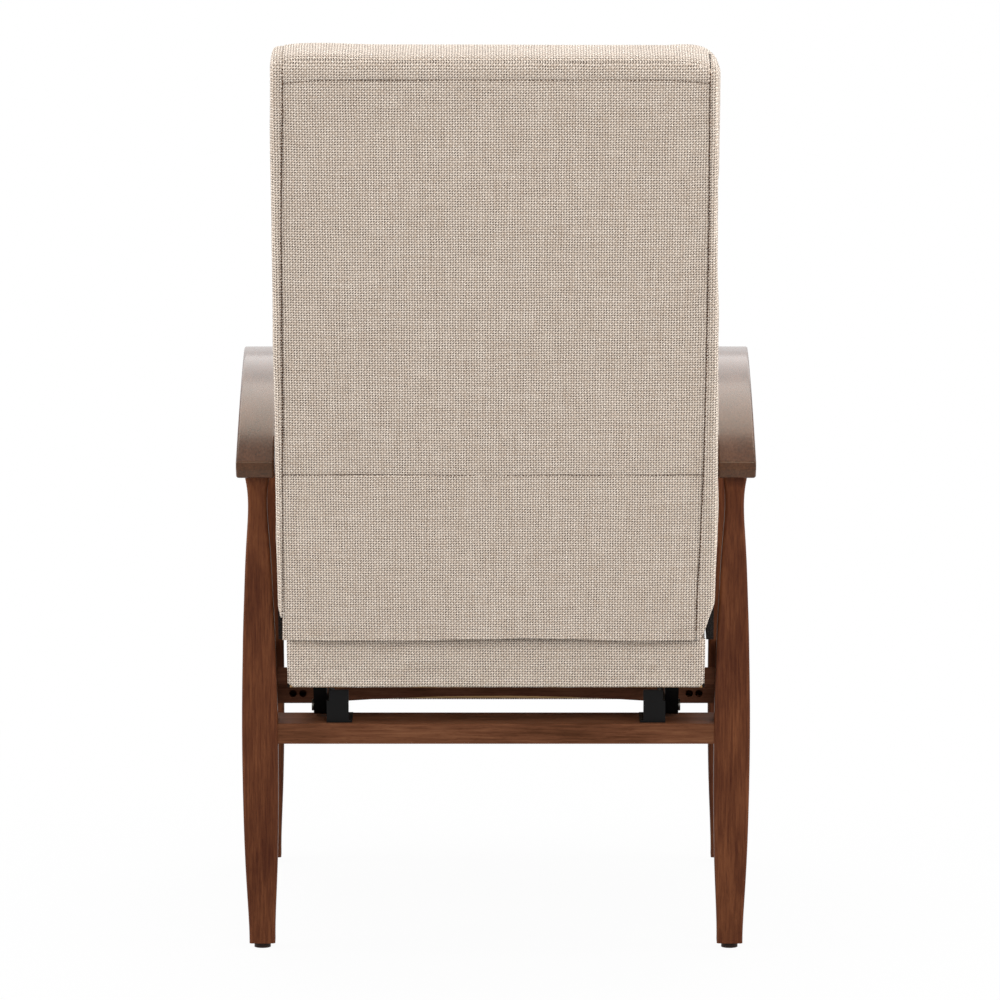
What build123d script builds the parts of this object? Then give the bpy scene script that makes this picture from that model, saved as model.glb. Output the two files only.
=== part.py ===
from build123d import *
import math
import os

os.makedirs("parts", exist_ok=True)

# All lengths are millimetres. X is across, Y runs to the back, Z is up.
# Distances named ahead are measured forward from the rear face of the rear legs.
rear_face_y = 229.75
overrun = 40.0
fit_gap = 0.3
pin_clearance = 0.05
open_pin_clearance = 0.6

# Wooden legs: rounded spindles, waisted under the arms.
leg_width = 42.5
leg_depth = 48.0
leg_corner = 3.5
leg_centre_x = 277.0
leg_lean = 3.5
glide_height = 7.0
glide_radius = 9.75
glide_stub_radius = 4.0
glide_stub_length = 18.0
front_leg_ahead = 548.0
toe_out_degrees = 1.25
leg_height_shares = [0, 0.09, 0.195, 0.30, 0.412, 0.51, 0.615, 0.71, 0.795, 0.86, 0.903, 0.945, 1.07]
leg_width_shares = [0.72, 0.80, 0.922, 0.981, 1.0, 0.973, 0.902, 0.808, 0.705, 0.585, 0.527, 0.585, 0.89]

# Bow arms, sawn from thick boards: a tight rear arc and a flatter front arc.
arm_crest_height = 684.0
arm_crest_ahead = 277.0
arm_rear_radius = 475.0
arm_front_radius = 900.0
arm_thickness = 22.0
arm_rear_overhang = 12.0
arm_front_reach = 52.0
arm_nose = 5.0
arm_end_facet = 9.6
arm_end_undercut = 8.0
arm_rear_width = 45.6
arm_middle_width = 41.0
arm_front_width = 50.0
arm_edge_round = 3.0
arm_outboard = 5.4
arm_dowel_radius = 5.0
arm_dowel_length = 40.0
arm_dowel_leg_share = 0.75

# Flat cross boards and the rails between the front and the rear legs.
board_bottom = 248.0
board_thickness = 24.0
stretcher_inset = 4.0
stretcher_depth = 80.0
middle_board_ahead = 288.0
middle_board_depth = 126.0
middle_board_relief = 9.0
relief_inset = 55.0
board_edge_round = 2.0
bore_radius = 4.65
bore_depth = 16.0
bore_inner_inset = 40.0
bore_outer_inset = 28.0
side_rail_thickness = 20.0
side_rail_drop = 12.0
side_rail_height = 52.0
rail_dowel_radius = 4.0
rail_dowel_length = 36.0
rail_dowel_spacing = 26.0

# Steel base rails on the two boards, with a foot on each.
steel = 3.0
base_rail_inset = 80.0
base_rail_height = 26.0
base_rail_rear_ahead = 12.0
base_rail_front_ahead = 412.0
foot_width = 27.0
rear_foot_length = 56.0
front_foot_length = 92.0
web_width = 23.0
web_height = 39.0
screw_shank_radius = 2.25
screw_head_radius = 4.5
screw_head_height = 2.4
screw_length = 16.0
screw_edge_gap = 12.0

# Rockers that carry the seat.
rocker_length = 52.0
rocker_lean_degrees = 25.0
rocker_boss_radius = 11.0
rocker_base_rise = 13.0
rear_rocker_ahead = 62.0
front_rocker_ahead = 380.0
rear_rocker_thickness = 16.0
front_rocker_thickness = 5.0
pin_radius = 4.0
pin_head_radius = 7.0
pin_head_height = 2.2
spacer_radius = 5.0

# Seat box: steel side plates inside wooden rails, cloth outside.
seat_plate_inset = 53.0
seat_plate_lift = 1.0
seat_plate_height = 32.0
seat_plate_rear_ahead = 27.0
seat_plate_reach = 34.0
plate_lobe_radius = 13.0
seat_rail_thickness = 16.0
seat_box_rise = 43.0
seat_box_height = 70.0
seat_box_rear_ahead = 8.0
seat_box_reach = 40.0
rear_strip_height = 17.0
rear_strip_thickness = 10.0
deck_rail_ahead = 60.0
deck_rail_thickness = 16.0
front_rail_lift = 11.0
front_rail_thickness = 20.0
cloth = 3.0
rear_border_height = 55.0
spring_wire_radius = 1.9
spring_count = 5
spring_spacing_share = 0.2816
spring_half_width = 22.0
spring_pitch = 40.0
spring_bend_radius = 16.0
spring_clip_length = 18.0
spring_clip_width = 50.0
seat_pad_rear_ahead = 84.0
seat_pad_reach = 58.0
seat_pad_side_inset = 25.0
seat_pad_side_bulge = 10.0
seat_pad_thickness = 42.0
seat_pad_crown = 16.0
corner_block_size = 34.0
corner_block_height = 30.0
plate_screw_start = 83.0
plate_screw_pitch = 95.0
plate_screw_count = 4
seat_pad_corner = 38.0
border_corner = 9.0
side_lining_height = 43.0

# Back, drawn upright behind its own rear plane and then leaned.
lean_degrees = 15.0
hem_lift = 54.5
hem_behind = 10.0
back_pivot_ahead = 40.0
back_pivot_lift = 35.0
back_bracket_radius = 9.0
back_bracket_length = 172.0
back_length = 725.0
middle_seam_rise = 215.0
back_panel_inset = 31.0
back_side_inset = 21.0
back_post_width = 30.0
back_post_depth = 38.0
back_post_inset = 8.0
back_post_bottom = 26.0
back_post_top_gap = 30.0
back_screw_steps_share = [0.55, 0.9]
back_rail_height = 44.0
back_rail_depth = 22.0
middle_rail_rise = 330.0
webbing_count = 6
webbing_width = 50.0
webbing_thickness = 2.0
side_pad_bottom = 44.0
side_pad_depth = 58.0
side_pad_round = 8.0
roll_height = 28.0
roll_round = 10.0
bolster_bottom = 66.0
bolster_top_gap = 34.0
bolster_seam_gap = 0.8
bolster_depth = 74.0
bolster_side_bulge = 9.0
bolster_corner = 24.0
bolster_height_shares = [0.40, 0.33, 0.27]
headrest_extra_depth = 12.0

# Footrest: two parallel links a side, a carrier and a hinged padded board.
link_length = 120.0
link_half_width = 9.0
link_thickness = 4.0
link_rest_degrees = 220.0
link_pivot_setback = 18.0
link_pivot_drop = 15.0
link_offset = 45.0
carrier_slope_degrees = 14.0
carrier_length = 163.0
layer_gap = 0.5
cross_bar_width = 24.0
cross_bar_share = 0.55
footrest_drop = 121.0
footrest_height = 144.0
footrest_side_inset = 41.0
footrest_reach = 59.0
footrest_board_thickness = 14.0
footrest_pad_thickness = 26.0
footrest_pad_crown = 12.0
footrest_bracket_length = 64.0
footrest_board_inset = 6.0
footrest_pad_bulge = 5.0
footrest_pad_corner = 18.0

# A crowned pad: rise, side bulge and edge draw-in from its base to its top.
pad_rise_shares = [0, 0.22, 0.5, 0.74, 0.92, 1.0]
pad_bulge_shares = [0.35, 0.85, 1.0, 0.8, 0.4, 0]
pad_inset_shares = [0, 0, 0, 0.05, 0.20, 0.44]

# Places worked out from the sizes above.
board_top = board_bottom + board_thickness
side_rail_bottom = board_bottom - side_rail_drop
seat_box_bottom = board_top + seat_box_rise
seat_deck_height = seat_box_bottom + seat_box_height
seat_plate_bottom = seat_box_bottom + seat_plate_lift
front_rail_bottom = seat_box_bottom + front_rail_lift
rear_border_top = seat_box_bottom + rear_border_height
side_cloth_split = seat_box_bottom + side_lining_height
hem_height = seat_box_bottom + hem_lift
back_pivot_height = seat_box_bottom + back_pivot_lift
link_pivot_height = seat_box_bottom - link_pivot_drop
footrest_bottom = seat_box_bottom - footrest_drop
footrest_top = footrest_bottom + footrest_height
arm_front_ahead = front_leg_ahead + arm_front_reach
seat_box_front_ahead = front_leg_ahead + seat_box_reach
seat_plate_front_ahead = front_leg_ahead + seat_plate_reach
seat_pad_front_ahead = front_leg_ahead + seat_pad_reach
link_pivot_ahead = front_leg_ahead - link_pivot_setback
footrest_rear_ahead = front_leg_ahead + footrest_reach
relief_half_width = leg_centre_x - relief_inset
bore_inner_x = leg_centre_x - bore_inner_inset
bore_outer_x = leg_centre_x - bore_outer_inset
base_rail_x = leg_centre_x - base_rail_inset
seat_plate_x = leg_centre_x - seat_plate_inset
seat_pad_half_width = leg_centre_x - seat_pad_side_inset
back_panel_half_width = leg_centre_x - back_panel_inset
back_half_width = leg_centre_x - back_side_inset
footrest_half_width = leg_centre_x - footrest_side_inset
spring_spacing = leg_centre_x * spring_spacing_share
back_post_top = back_length - back_post_top_gap
roll_start = back_length - roll_height
bolster_top = back_length - bolster_top_gap
rocker_base_z = board_top + rocker_base_rise
rocker_rise = rocker_length * math.cos(math.radians(rocker_lean_degrees))
rocker_back = rocker_length * math.sin(math.radians(rocker_lean_degrees))
rocker_top_z = rocker_base_z + rocker_rise
base_rail_outer_x = base_rail_x + steel
rocker_inner_x = base_rail_outer_x + layer_gap
link_a_outer_x = seat_plate_x - layer_gap
link_a_inner_x = link_a_outer_x - link_thickness
carrier_outer_x = link_a_inner_x - layer_gap
carrier_inner_x = carrier_outer_x - link_thickness
link_b_outer_x = carrier_inner_x - layer_gap
link_b_inner_x = link_b_outer_x - link_thickness
seat_rail_inner_x = seat_plate_x + steel
seat_rail_outer_x = seat_rail_inner_x + seat_rail_thickness
seat_plate_top = seat_plate_bottom + seat_plate_height
back_post_outer_x = link_a_outer_x
back_post_inner_x = back_post_outer_x - back_post_width
lean = math.radians(lean_degrees)
link_rest = math.radians(link_rest_degrees)
slope = math.radians(carrier_slope_degrees)
knee = (link_pivot_ahead + link_length * math.cos(link_rest),
        link_pivot_height + link_length * math.sin(link_rest))
tip = (knee[0] + carrier_length * math.cos(slope), knee[1] + carrier_length * math.sin(slope))
link_b_pivot = (link_pivot_ahead + link_offset * math.cos(slope),
                link_pivot_height + link_offset * math.sin(slope))
link_b_knee = (knee[0] + link_offset * math.cos(slope), knee[1] + link_offset * math.sin(slope))


def block(x_from, x_to, ahead_from, ahead_to, z_from, z_to):
    """A box given by its two faces along each axis, with Y as a distance ahead."""
    centre = Pos((x_from + x_to) / 2, rear_face_y - (ahead_from + ahead_to) / 2, (z_from + z_to) / 2)
    return centre * Box(x_to - x_from, ahead_to - ahead_from, z_to - z_from)


def rod_across(radius, x_from, x_to, ahead, z):
    """A round bar along X."""
    centre = Pos((x_from + x_to) / 2, rear_face_y - ahead, z)
    return centre * Rot(0, 90, 0) * Cylinder(radius, x_to - x_from)


def rod_ahead(radius, x, ahead_from, ahead_to, z):
    """A round bar along Y."""
    centre = Pos(x, rear_face_y - (ahead_from + ahead_to) / 2, z)
    return centre * Rot(90, 0, 0) * Cylinder(radius, ahead_to - ahead_from)


def rod_up(radius, x, ahead, z_from, z_to):
    """A round bar along Z."""
    return Pos(x, rear_face_y - ahead, (z_from + z_to) / 2) * Cylinder(radius, z_to - z_from)


def mirrored(shape):
    return mirror(shape, about=Plane.YZ)


def pair(shape):
    """The right piece and its mirror image on the left."""
    return Compound(children=list(shape.solids()) + list(mirrored(shape).solids()))


def group(shapes):
    return Compound(children=[solid for shape in shapes for solid in shape.solids()])


def save(name, shape):
    shape.label = name
    export_step(shape, "parts/" + name + ".step")


def toed(shape):
    """Turns a right side piece outwards about the rear leg."""
    foot = Pos(leg_centre_x, rear_face_y, 0)
    return foot * Rot(0, 0, toe_out_degrees) * foot.inverse() * shape


def leaned(shape):
    """Takes a back piece from its upright frame to its place behind the hem line."""
    hem = Pos(0, rear_face_y + hem_behind, hem_height)
    return hem * Rot(-lean_degrees, 0, 0) * shape


def back_block(x_from, x_to, deep_from, deep_to, up_from, up_to):
    """A box in the back's upright frame, deep measured forward of its rear plane."""
    centre = Pos((x_from + x_to) / 2, -(deep_from + deep_to) / 2, (up_from + up_to) / 2)
    return centre * Box(x_to - x_from, deep_to - deep_from, up_to - up_from)


def bar_plate(x_from, x_to, start, end, half_width):
    """A flat link with round ends, between two points given as distance ahead and height."""
    run = math.hypot(end[0] - start[0], end[1] - start[1])
    turn = math.degrees(math.atan2(end[1] - start[1], start[0] - end[0]))
    middle = Pos(x_from, rear_face_y - (start[0] + end[0]) / 2, (start[1] + end[1]) / 2)
    outline = Rot(0, 0, turn) * SlotCenterToCenter(run, 2 * half_width)
    return middle * extrude(Plane.YZ * outline, x_to - x_from)


def cushion(width, depth, thickness, side_bulge, corner):
    """A crowned pad standing on its base, drawn in at the bottom and the top edge."""
    sections = []
    for rise_share, bulge_share, inset_share in zip(pad_rise_shares, pad_bulge_shares, pad_inset_shares):
        grow = 2 * side_bulge * bulge_share - 2 * thickness * inset_share
        outline = RectangleRounded(width + grow, depth + grow, corner)
        sections.append(Pos(0, 0, thickness * rise_share) * outline)
    return loft(sections, ruled=True)


# Legs

def arm_underside(ahead):
    """The height of the arm's lower face at a distance ahead."""
    radius = arm_rear_radius if ahead < arm_crest_ahead else arm_front_radius
    inner = radius - arm_thickness
    return arm_crest_height - radius + math.sqrt(inner ** 2 - (ahead - arm_crest_ahead) ** 2)


def leg(ahead):
    """A spindle lofted through rounded rectangles, longer than its seat in the arm."""
    tall = arm_underside(ahead) - glide_height
    sections = []
    for height_share, width_share in zip(leg_height_shares, leg_width_shares):
        centre = Pos(leg_centre_x + leg_lean * height_share, rear_face_y - ahead,
                     glide_height + tall * height_share)
        outline = RectangleRounded(leg_width * width_share, leg_depth * width_share, leg_corner)
        sections.append(centre * outline)
    return loft(sections)


# Arms

def bow_point(angle, offset):
    """A point of the bow, by its angle from the crest and its offset from the top face."""
    radius = arm_rear_radius if angle < 0 else arm_front_radius
    reach = radius + offset
    ahead = arm_crest_ahead + reach * math.sin(angle)
    height = arm_crest_height - radius + reach * math.cos(angle)
    return (rear_face_y - ahead, height)


def bow_profile(lift):
    """The arm seen from the side, its top face raised by lift."""
    rear_top = -math.asin((arm_crest_ahead + arm_rear_overhang) / arm_rear_radius)
    rear_low_ahead = arm_crest_ahead + arm_rear_overhang - arm_end_undercut
    rear_low = -math.asin(rear_low_ahead / (arm_rear_radius - arm_thickness))
    front = math.asin((arm_front_ahead - arm_nose - arm_crest_ahead) / arm_front_radius)
    top_end = bow_point(rear_top, lift)
    low_end = bow_point(rear_low, -arm_thickness)
    facet = (bow_point(rear_top, 0)[0], bow_point(rear_top, 0)[1] - arm_end_facet)
    crest = (rear_face_y - arm_crest_ahead, arm_crest_height + lift)
    crest_low = (rear_face_y - arm_crest_ahead, arm_crest_height - arm_thickness)
    nose_top = bow_point(front, lift)
    nose_low = bow_point(front, -arm_thickness)
    nose_middle = ((nose_top[0] + nose_low[0]) / 2 - arm_nose, (nose_top[1] + nose_low[1]) / 2)
    edges = [
        ThreePointArc(top_end, bow_point(rear_top / 2, lift), crest),
        ThreePointArc(crest, bow_point(front / 2, lift), nose_top),
        ThreePointArc(nose_top, nose_middle, nose_low),
        ThreePointArc(nose_low, bow_point(front / 2, -arm_thickness), crest_low),
        ThreePointArc(crest_low, bow_point(rear_low / 2, -arm_thickness), low_end),
        Line(low_end, facet),
        Line(facet, top_end),
    ]
    return make_face(edges)


def arm_blank(lift):
    inner_x = leg_centre_x - leg_width
    return Pos(inner_x, 0, 0) * extrude(Plane.YZ * bow_profile(lift), 2 * leg_width + arm_outboard)


def arm():
    """The bow cut to its plan: narrow in the middle, broad at both ends."""
    centre_x = leg_centre_x + arm_outboard
    inner_x = centre_x - arm_rear_width / 2
    rear_y = rear_face_y + arm_rear_overhang + arm_nose
    front_y = rear_face_y - arm_front_ahead - arm_nose
    plan = make_face([
        Line((inner_x, front_y), (inner_x, rear_y)),
        Line((inner_x, rear_y), (inner_x + arm_rear_width, rear_y)),
        ThreePointArc((inner_x + arm_rear_width, rear_y),
                      (inner_x + arm_middle_width, (rear_y + front_y) / 2),
                      (inner_x + arm_front_width, front_y)),
        Line((inner_x + arm_front_width, front_y), (inner_x, front_y)),
    ])
    shape = arm_blank(0) & extrude(plan, arm_crest_height + overrun)
    return fillet(shape.edges(), arm_edge_round)


def arm_dowel(ahead):
    seat = arm_underside(ahead)
    return rod_up(arm_dowel_radius, leg_centre_x + leg_lean, ahead,
                  seat - arm_dowel_length * arm_dowel_leg_share,
                  seat + arm_dowel_length * (1 - arm_dowel_leg_share))


rear_leg_ahead = leg_depth / 2
arm_cutter = arm_blank(overrun)
raw_rear_leg = leg(rear_leg_ahead) - arm_cutter
raw_front_leg = leg(front_leg_ahead) - arm_cutter
arm_dowels = [arm_dowel(rear_leg_ahead), arm_dowel(front_leg_ahead)]

side_rail_raw = block(leg_centre_x - side_rail_thickness / 2, leg_centre_x + side_rail_thickness / 2,
                      rear_leg_ahead, front_leg_ahead, side_rail_bottom, side_rail_bottom + side_rail_height)
side_rail = side_rail_raw - raw_rear_leg - raw_front_leg
rail_dowels = []
for end_ahead in (leg_depth, front_leg_ahead - leg_depth / 2):
    for step in (-1, 1):
        middle_z = side_rail_bottom + side_rail_height / 2 + step * rail_dowel_spacing / 2
        rail_dowels.append(rod_ahead(rail_dowel_radius, leg_centre_x,
                                     end_ahead - rail_dowel_length / 2, end_ahead + rail_dowel_length / 2,
                                     middle_z))

side_pieces = {
    "rear_leg": raw_rear_leg,
    "front_leg": raw_front_leg,
    "arm": arm(),
    "side_rail": side_rail,
}
right_pieces = {}
for name, shape in side_pieces.items():
    for dowel in arm_dowels + rail_dowels:
        shape = shape - dowel
    right_pieces[name] = toed(shape)
side_dowels = [toed(dowel) for dowel in arm_dowels + rail_dowels]


# Cross boards

def cross_board(ahead_from, ahead_to):
    """A flat board scribed to the legs and the side rails at both ends."""
    half = leg_centre_x + leg_width / 2
    board = block(-half, half, ahead_from, ahead_to, board_bottom, board_top)
    long_edges = board.edges().filter_by(Axis.X).group_by(Axis.Z)[-1]
    board = fillet(long_edges, board_edge_round)
    keep = side_rail_toe_half(ahead_to)
    board = board & block(-keep, keep, ahead_from - overrun, ahead_to + overrun, 0, arm_crest_height)
    for name in ("rear_leg", "side_rail"):
        board = board - right_pieces[name] - mirrored(right_pieces[name])
    return max(board.solids(), key=lambda solid: solid.volume)


def side_rail_toe_half(ahead):
    """How far out a board reaches before it would pass the side rail's middle."""
    return leg_centre_x + ahead * math.tan(math.radians(toe_out_degrees))


stretcher = cross_board(stretcher_inset, stretcher_inset + stretcher_depth)
middle_board = cross_board(middle_board_ahead, middle_board_ahead + middle_board_depth)
relief = make_face([
    ThreePointArc((-relief_half_width, board_bottom), (0, board_bottom + middle_board_relief),
                  (relief_half_width, board_bottom)),
    Line((relief_half_width, board_bottom), (relief_half_width, board_bottom - overrun)),
    Line((relief_half_width, board_bottom - overrun), (-relief_half_width, board_bottom - overrun)),
    Line((-relief_half_width, board_bottom - overrun), (-relief_half_width, board_bottom)),
])
relief_cut = extrude(Plane.XZ * relief, 2 * arm_crest_ahead, both=True)
middle_board = middle_board - relief_cut
for x in (-bore_outer_x, -bore_inner_x, bore_inner_x, bore_outer_x):
    middle_board = middle_board - rod_ahead(bore_radius, x, middle_board_ahead - overrun,
                                            middle_board_ahead + bore_depth,
                                            board_bottom + board_thickness / 2)

# Glides under the four legs

glides = []
for ahead in (rear_leg_ahead, front_leg_ahead):
    disc = rod_up(glide_radius, leg_centre_x, ahead, 0, glide_height)
    stub = rod_up(glide_stub_radius, leg_centre_x, ahead, glide_height, glide_height + glide_stub_length)
    glides.append(toed(disc + stub))
for name, glide in zip(("rear_leg", "front_leg"), glides):
    right_pieces[name] = right_pieces[name] - glide

# Base rails and their screws

def foot_screw(ahead, x):
    head = rod_up(screw_head_radius, x, ahead, board_top + steel, board_top + steel + screw_head_height)
    shank = rod_up(screw_shank_radius, x, ahead, board_top + steel - screw_length, board_top + steel)
    return head + shank


rear_foot_start = base_rail_rear_ahead
front_foot_end = base_rail_front_ahead
foot_inner_x = base_rail_x - foot_width
foot_screw_x = foot_inner_x + screw_edge_gap
base_rail = block(base_rail_x, base_rail_outer_x, base_rail_rear_ahead, base_rail_front_ahead,
                  board_top, board_top + base_rail_height)
rear_foot = block(foot_inner_x, base_rail_x, rear_foot_start, rear_foot_start + rear_foot_length,
                  board_top, board_top + steel)
front_foot = block(foot_inner_x, base_rail_x, front_foot_end - front_foot_length, front_foot_end,
                   board_top, board_top + steel)
web = block(base_rail_x - web_width, base_rail_x, base_rail_rear_ahead, base_rail_rear_ahead + steel,
            board_top, board_top + web_height)
base_rail = base_rail + rear_foot + front_foot + web
screw_aheads = [rear_foot_start + 2 * screw_edge_gap, rear_foot_start + rear_foot_length - screw_edge_gap,
                front_foot_end - front_foot_length + screw_edge_gap, front_foot_end - screw_edge_gap]
base_screws = [foot_screw(ahead, foot_screw_x) for ahead in screw_aheads]
for screw in base_screws:
    base_rail = base_rail - screw
    stretcher = stretcher - screw - mirrored(screw)
    middle_board = middle_board - screw - mirrored(screw)


def pivot_pin(x_inner, x_outer, ahead, z):
    """A riveted pin with a head at each end, the heads outside the two faces given."""
    shank = rod_across(pin_radius, x_inner, x_outer, ahead, z)
    inner_head = rod_across(pin_head_radius, x_inner - pin_head_height, x_inner, ahead, z)
    outer_head = rod_across(pin_head_radius, x_outer, x_outer + pin_head_height, ahead, z)
    return inner_head + shank + outer_head


def spacer(x_inner, x_outer, ahead, z):
    """The thick part of a stepped pin."""
    return rod_across(spacer_radius, x_inner, x_outer, ahead, z)


def pin_hole(ahead, z, clearance):
    return rod_across(pin_radius + clearance, 0, arm_crest_height, ahead, z)


front_rocker_outer_x = rocker_inner_x + front_rocker_thickness
rear_rocker_outer_x = rocker_inner_x + rear_rocker_thickness
base_pins = [
    pivot_pin(base_rail_x, rear_rocker_outer_x + layer_gap / 2, rear_rocker_ahead, rocker_base_z),
    pivot_pin(base_rail_x, front_rocker_outer_x + layer_gap / 2, front_rocker_ahead, rocker_base_z),
]
for pin in base_pins:
    base_rail = base_rail - pin


def rocker(ahead, thickness):
    """One swinging link, its top behind its foot at rest."""
    foot = (ahead, rocker_base_z)
    head = (ahead - rocker_back, rocker_top_z)
    shape = bar_plate(rocker_inner_x, rocker_inner_x + thickness, foot, head, rocker_boss_radius)
    return shape, foot, head


rear_rocker, rear_foot_point, rear_head_point = rocker(rear_rocker_ahead, rear_rocker_thickness)
rear_rocker = rear_rocker - pin_hole(*rear_foot_point, pin_clearance) - pin_hole(*rear_head_point,
                                                                                 open_pin_clearance)
front_rocker, front_foot_point, front_head_point = rocker(front_rocker_ahead, front_rocker_thickness)
front_rocker = front_rocker - pin_hole(*front_foot_point, pin_clearance) - pin_hole(*front_head_point,
                                                                                    pin_clearance)

# Seat box

link_a_pivot = (link_pivot_ahead, link_pivot_height)
back_pivot = (back_pivot_ahead, back_pivot_height)
seat_plate = block(seat_plate_x, seat_rail_inner_x, seat_plate_rear_ahead, seat_plate_front_ahead,
                   seat_plate_bottom, seat_plate_top)
front_lobe = bar_plate(seat_plate_x, seat_rail_inner_x, link_a_pivot, link_b_pivot, plate_lobe_radius)
front_web = bar_plate(seat_plate_x, seat_rail_inner_x, link_b_pivot,
                      (link_b_pivot[0] - plate_lobe_radius, seat_plate_bottom + plate_lobe_radius),
                      plate_lobe_radius)
front_web_b = bar_plate(seat_plate_x, seat_rail_inner_x, link_a_pivot,
                        (link_a_pivot[0], seat_plate_bottom + plate_lobe_radius), plate_lobe_radius)
rear_lobe = bar_plate(seat_plate_x, seat_rail_inner_x, back_pivot,
                      (back_pivot_ahead, seat_plate_bottom + plate_lobe_radius), plate_lobe_radius)
seat_plate = seat_plate + front_lobe + front_web + front_web_b + rear_lobe

seat_pins = [
    pivot_pin(rocker_inner_x, seat_rail_inner_x - pin_head_height, *rear_head_point),
    pivot_pin(rocker_inner_x, seat_rail_inner_x - pin_head_height, *front_head_point)
    + spacer(front_rocker_outer_x + layer_gap / 2, seat_plate_x, *front_head_point),
    pivot_pin(link_a_inner_x, seat_rail_inner_x - pin_head_height, *link_a_pivot),
    pivot_pin(link_b_inner_x, seat_rail_inner_x - pin_head_height, *link_b_pivot)
    + spacer(link_b_outer_x + layer_gap / 2, seat_plate_x, *link_b_pivot),
    pivot_pin(link_a_inner_x, seat_rail_inner_x - pin_head_height, *back_pivot),
]
for pin in seat_pins:
    seat_plate = seat_plate - pin

seat_side_rail = block(seat_rail_inner_x, seat_rail_outer_x, seat_box_rear_ahead, seat_box_front_ahead,
                       seat_box_bottom, seat_deck_height)
front_rail = block(-seat_rail_inner_x, seat_rail_inner_x, seat_box_front_ahead - front_rail_thickness,
                   seat_box_front_ahead, front_rail_bottom, seat_deck_height)
front_rail = front_rail - seat_plate - mirrored(seat_plate)
deck_rail = block(-seat_rail_inner_x, seat_rail_inner_x, deck_rail_ahead,
                  deck_rail_ahead + deck_rail_thickness, seat_plate_top, seat_deck_height)
rear_strip = block(-seat_rail_inner_x, seat_rail_inner_x, seat_box_rear_ahead,
                   seat_box_rear_ahead + rear_strip_thickness, seat_box_bottom,
                   seat_box_bottom + rear_strip_height)
corner_block = block(seat_rail_inner_x - corner_block_size, seat_rail_inner_x,
                     seat_box_front_ahead - front_rail_thickness - corner_block_size,
                     seat_box_front_ahead - front_rail_thickness,
                     seat_deck_height - corner_block_height, seat_deck_height)


def plate_screw(ahead):
    middle_z = (seat_plate_bottom + seat_plate_top) / 2
    head = rod_across(screw_head_radius, seat_plate_x - screw_head_height, seat_plate_x, ahead, middle_z)
    shank = rod_across(screw_shank_radius, seat_plate_x, seat_plate_x + screw_length, ahead, middle_z)
    return head + shank


plate_screws = [plate_screw(seat_plate_rear_ahead + plate_screw_start + number * plate_screw_pitch)
                for number in range(plate_screw_count)]
for screw in plate_screws:
    seat_plate = seat_plate - screw
    seat_side_rail = seat_side_rail - screw


def spring(x):
    """A sinuous spring: straight bars joined by bends, between the deck rail and the front rail."""
    start = deck_rail_ahead + deck_rail_thickness / 2
    end = seat_box_front_ahead - front_rail_thickness / 2
    count = int((end - start) / spring_pitch)
    points = []
    for number in range(count + 1):
        y = rear_face_y - start - (end - start) * number / count
        side = spring_half_width if number % 2 else -spring_half_width
        points.append((x + side, y))
        if number < count:
            points.append((x + side, y - (end - start) / count))
    path = FilletPolyline(*points, radius=spring_bend_radius)
    ring = Plane(origin=path @ 0, z_dir=path % 0) * Circle(spring_wire_radius)
    return Pos(0, 0, seat_deck_height + spring_wire_radius) * sweep(ring, path=path)


springs = [spring((number - (spring_count - 1) / 2) * spring_spacing) for number in range(spring_count)]

spring_clips = []
clip_top = seat_deck_height + 2 * spring_wire_radius
for number in range(spring_count):
    x = (number - (spring_count - 1) / 2) * spring_spacing
    for ahead in (deck_rail_ahead + deck_rail_thickness / 2, seat_box_front_ahead - front_rail_thickness / 2):
        clip = block(x - spring_clip_width / 2, x + spring_clip_width / 2, ahead - spring_clip_length / 2,
                     ahead + spring_clip_length / 2, seat_deck_height, clip_top + spring_wire_radius / 2)
        spring_clips.append(clip - block(x - overrun, x + overrun, ahead - overrun, ahead + overrun,
                                         seat_deck_height, clip_top))

pad_base = clip_top + spring_wire_radius / 2 + fit_gap
seat_pad_middle = (seat_pad_rear_ahead + seat_pad_front_ahead) / 2
seat_pad = Pos(0, rear_face_y - seat_pad_middle, pad_base) * cushion(
    2 * seat_pad_half_width, seat_pad_front_ahead - seat_pad_rear_ahead,
    seat_pad_thickness + seat_pad_crown, seat_pad_side_bulge, seat_pad_corner)

border_outer_x = seat_rail_outer_x + fit_gap + cloth
border_rear_ahead = seat_box_rear_ahead - fit_gap - cloth
border_front_ahead = seat_box_front_ahead + fit_gap + cloth
rear_border = block(-border_outer_x, border_outer_x, border_rear_ahead, seat_box_rear_ahead - fit_gap,
                    seat_box_bottom, rear_border_top)
rear_border = fillet(rear_border.edges().filter_by(Axis.Y).group_by(Axis.Z)[0], border_corner)
front_border = block(-border_outer_x, border_outer_x, seat_box_front_ahead + fit_gap, border_front_ahead,
                     front_rail_bottom, pad_base - fit_gap)
side_border = block(border_outer_x - cloth, border_outer_x, seat_box_rear_ahead, seat_box_front_ahead,
                    side_cloth_split, pad_base - fit_gap)
side_lining = block(border_outer_x - cloth, border_outer_x, seat_box_rear_ahead, seat_box_front_ahead,
                    seat_box_bottom, side_cloth_split)

# Back

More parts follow.
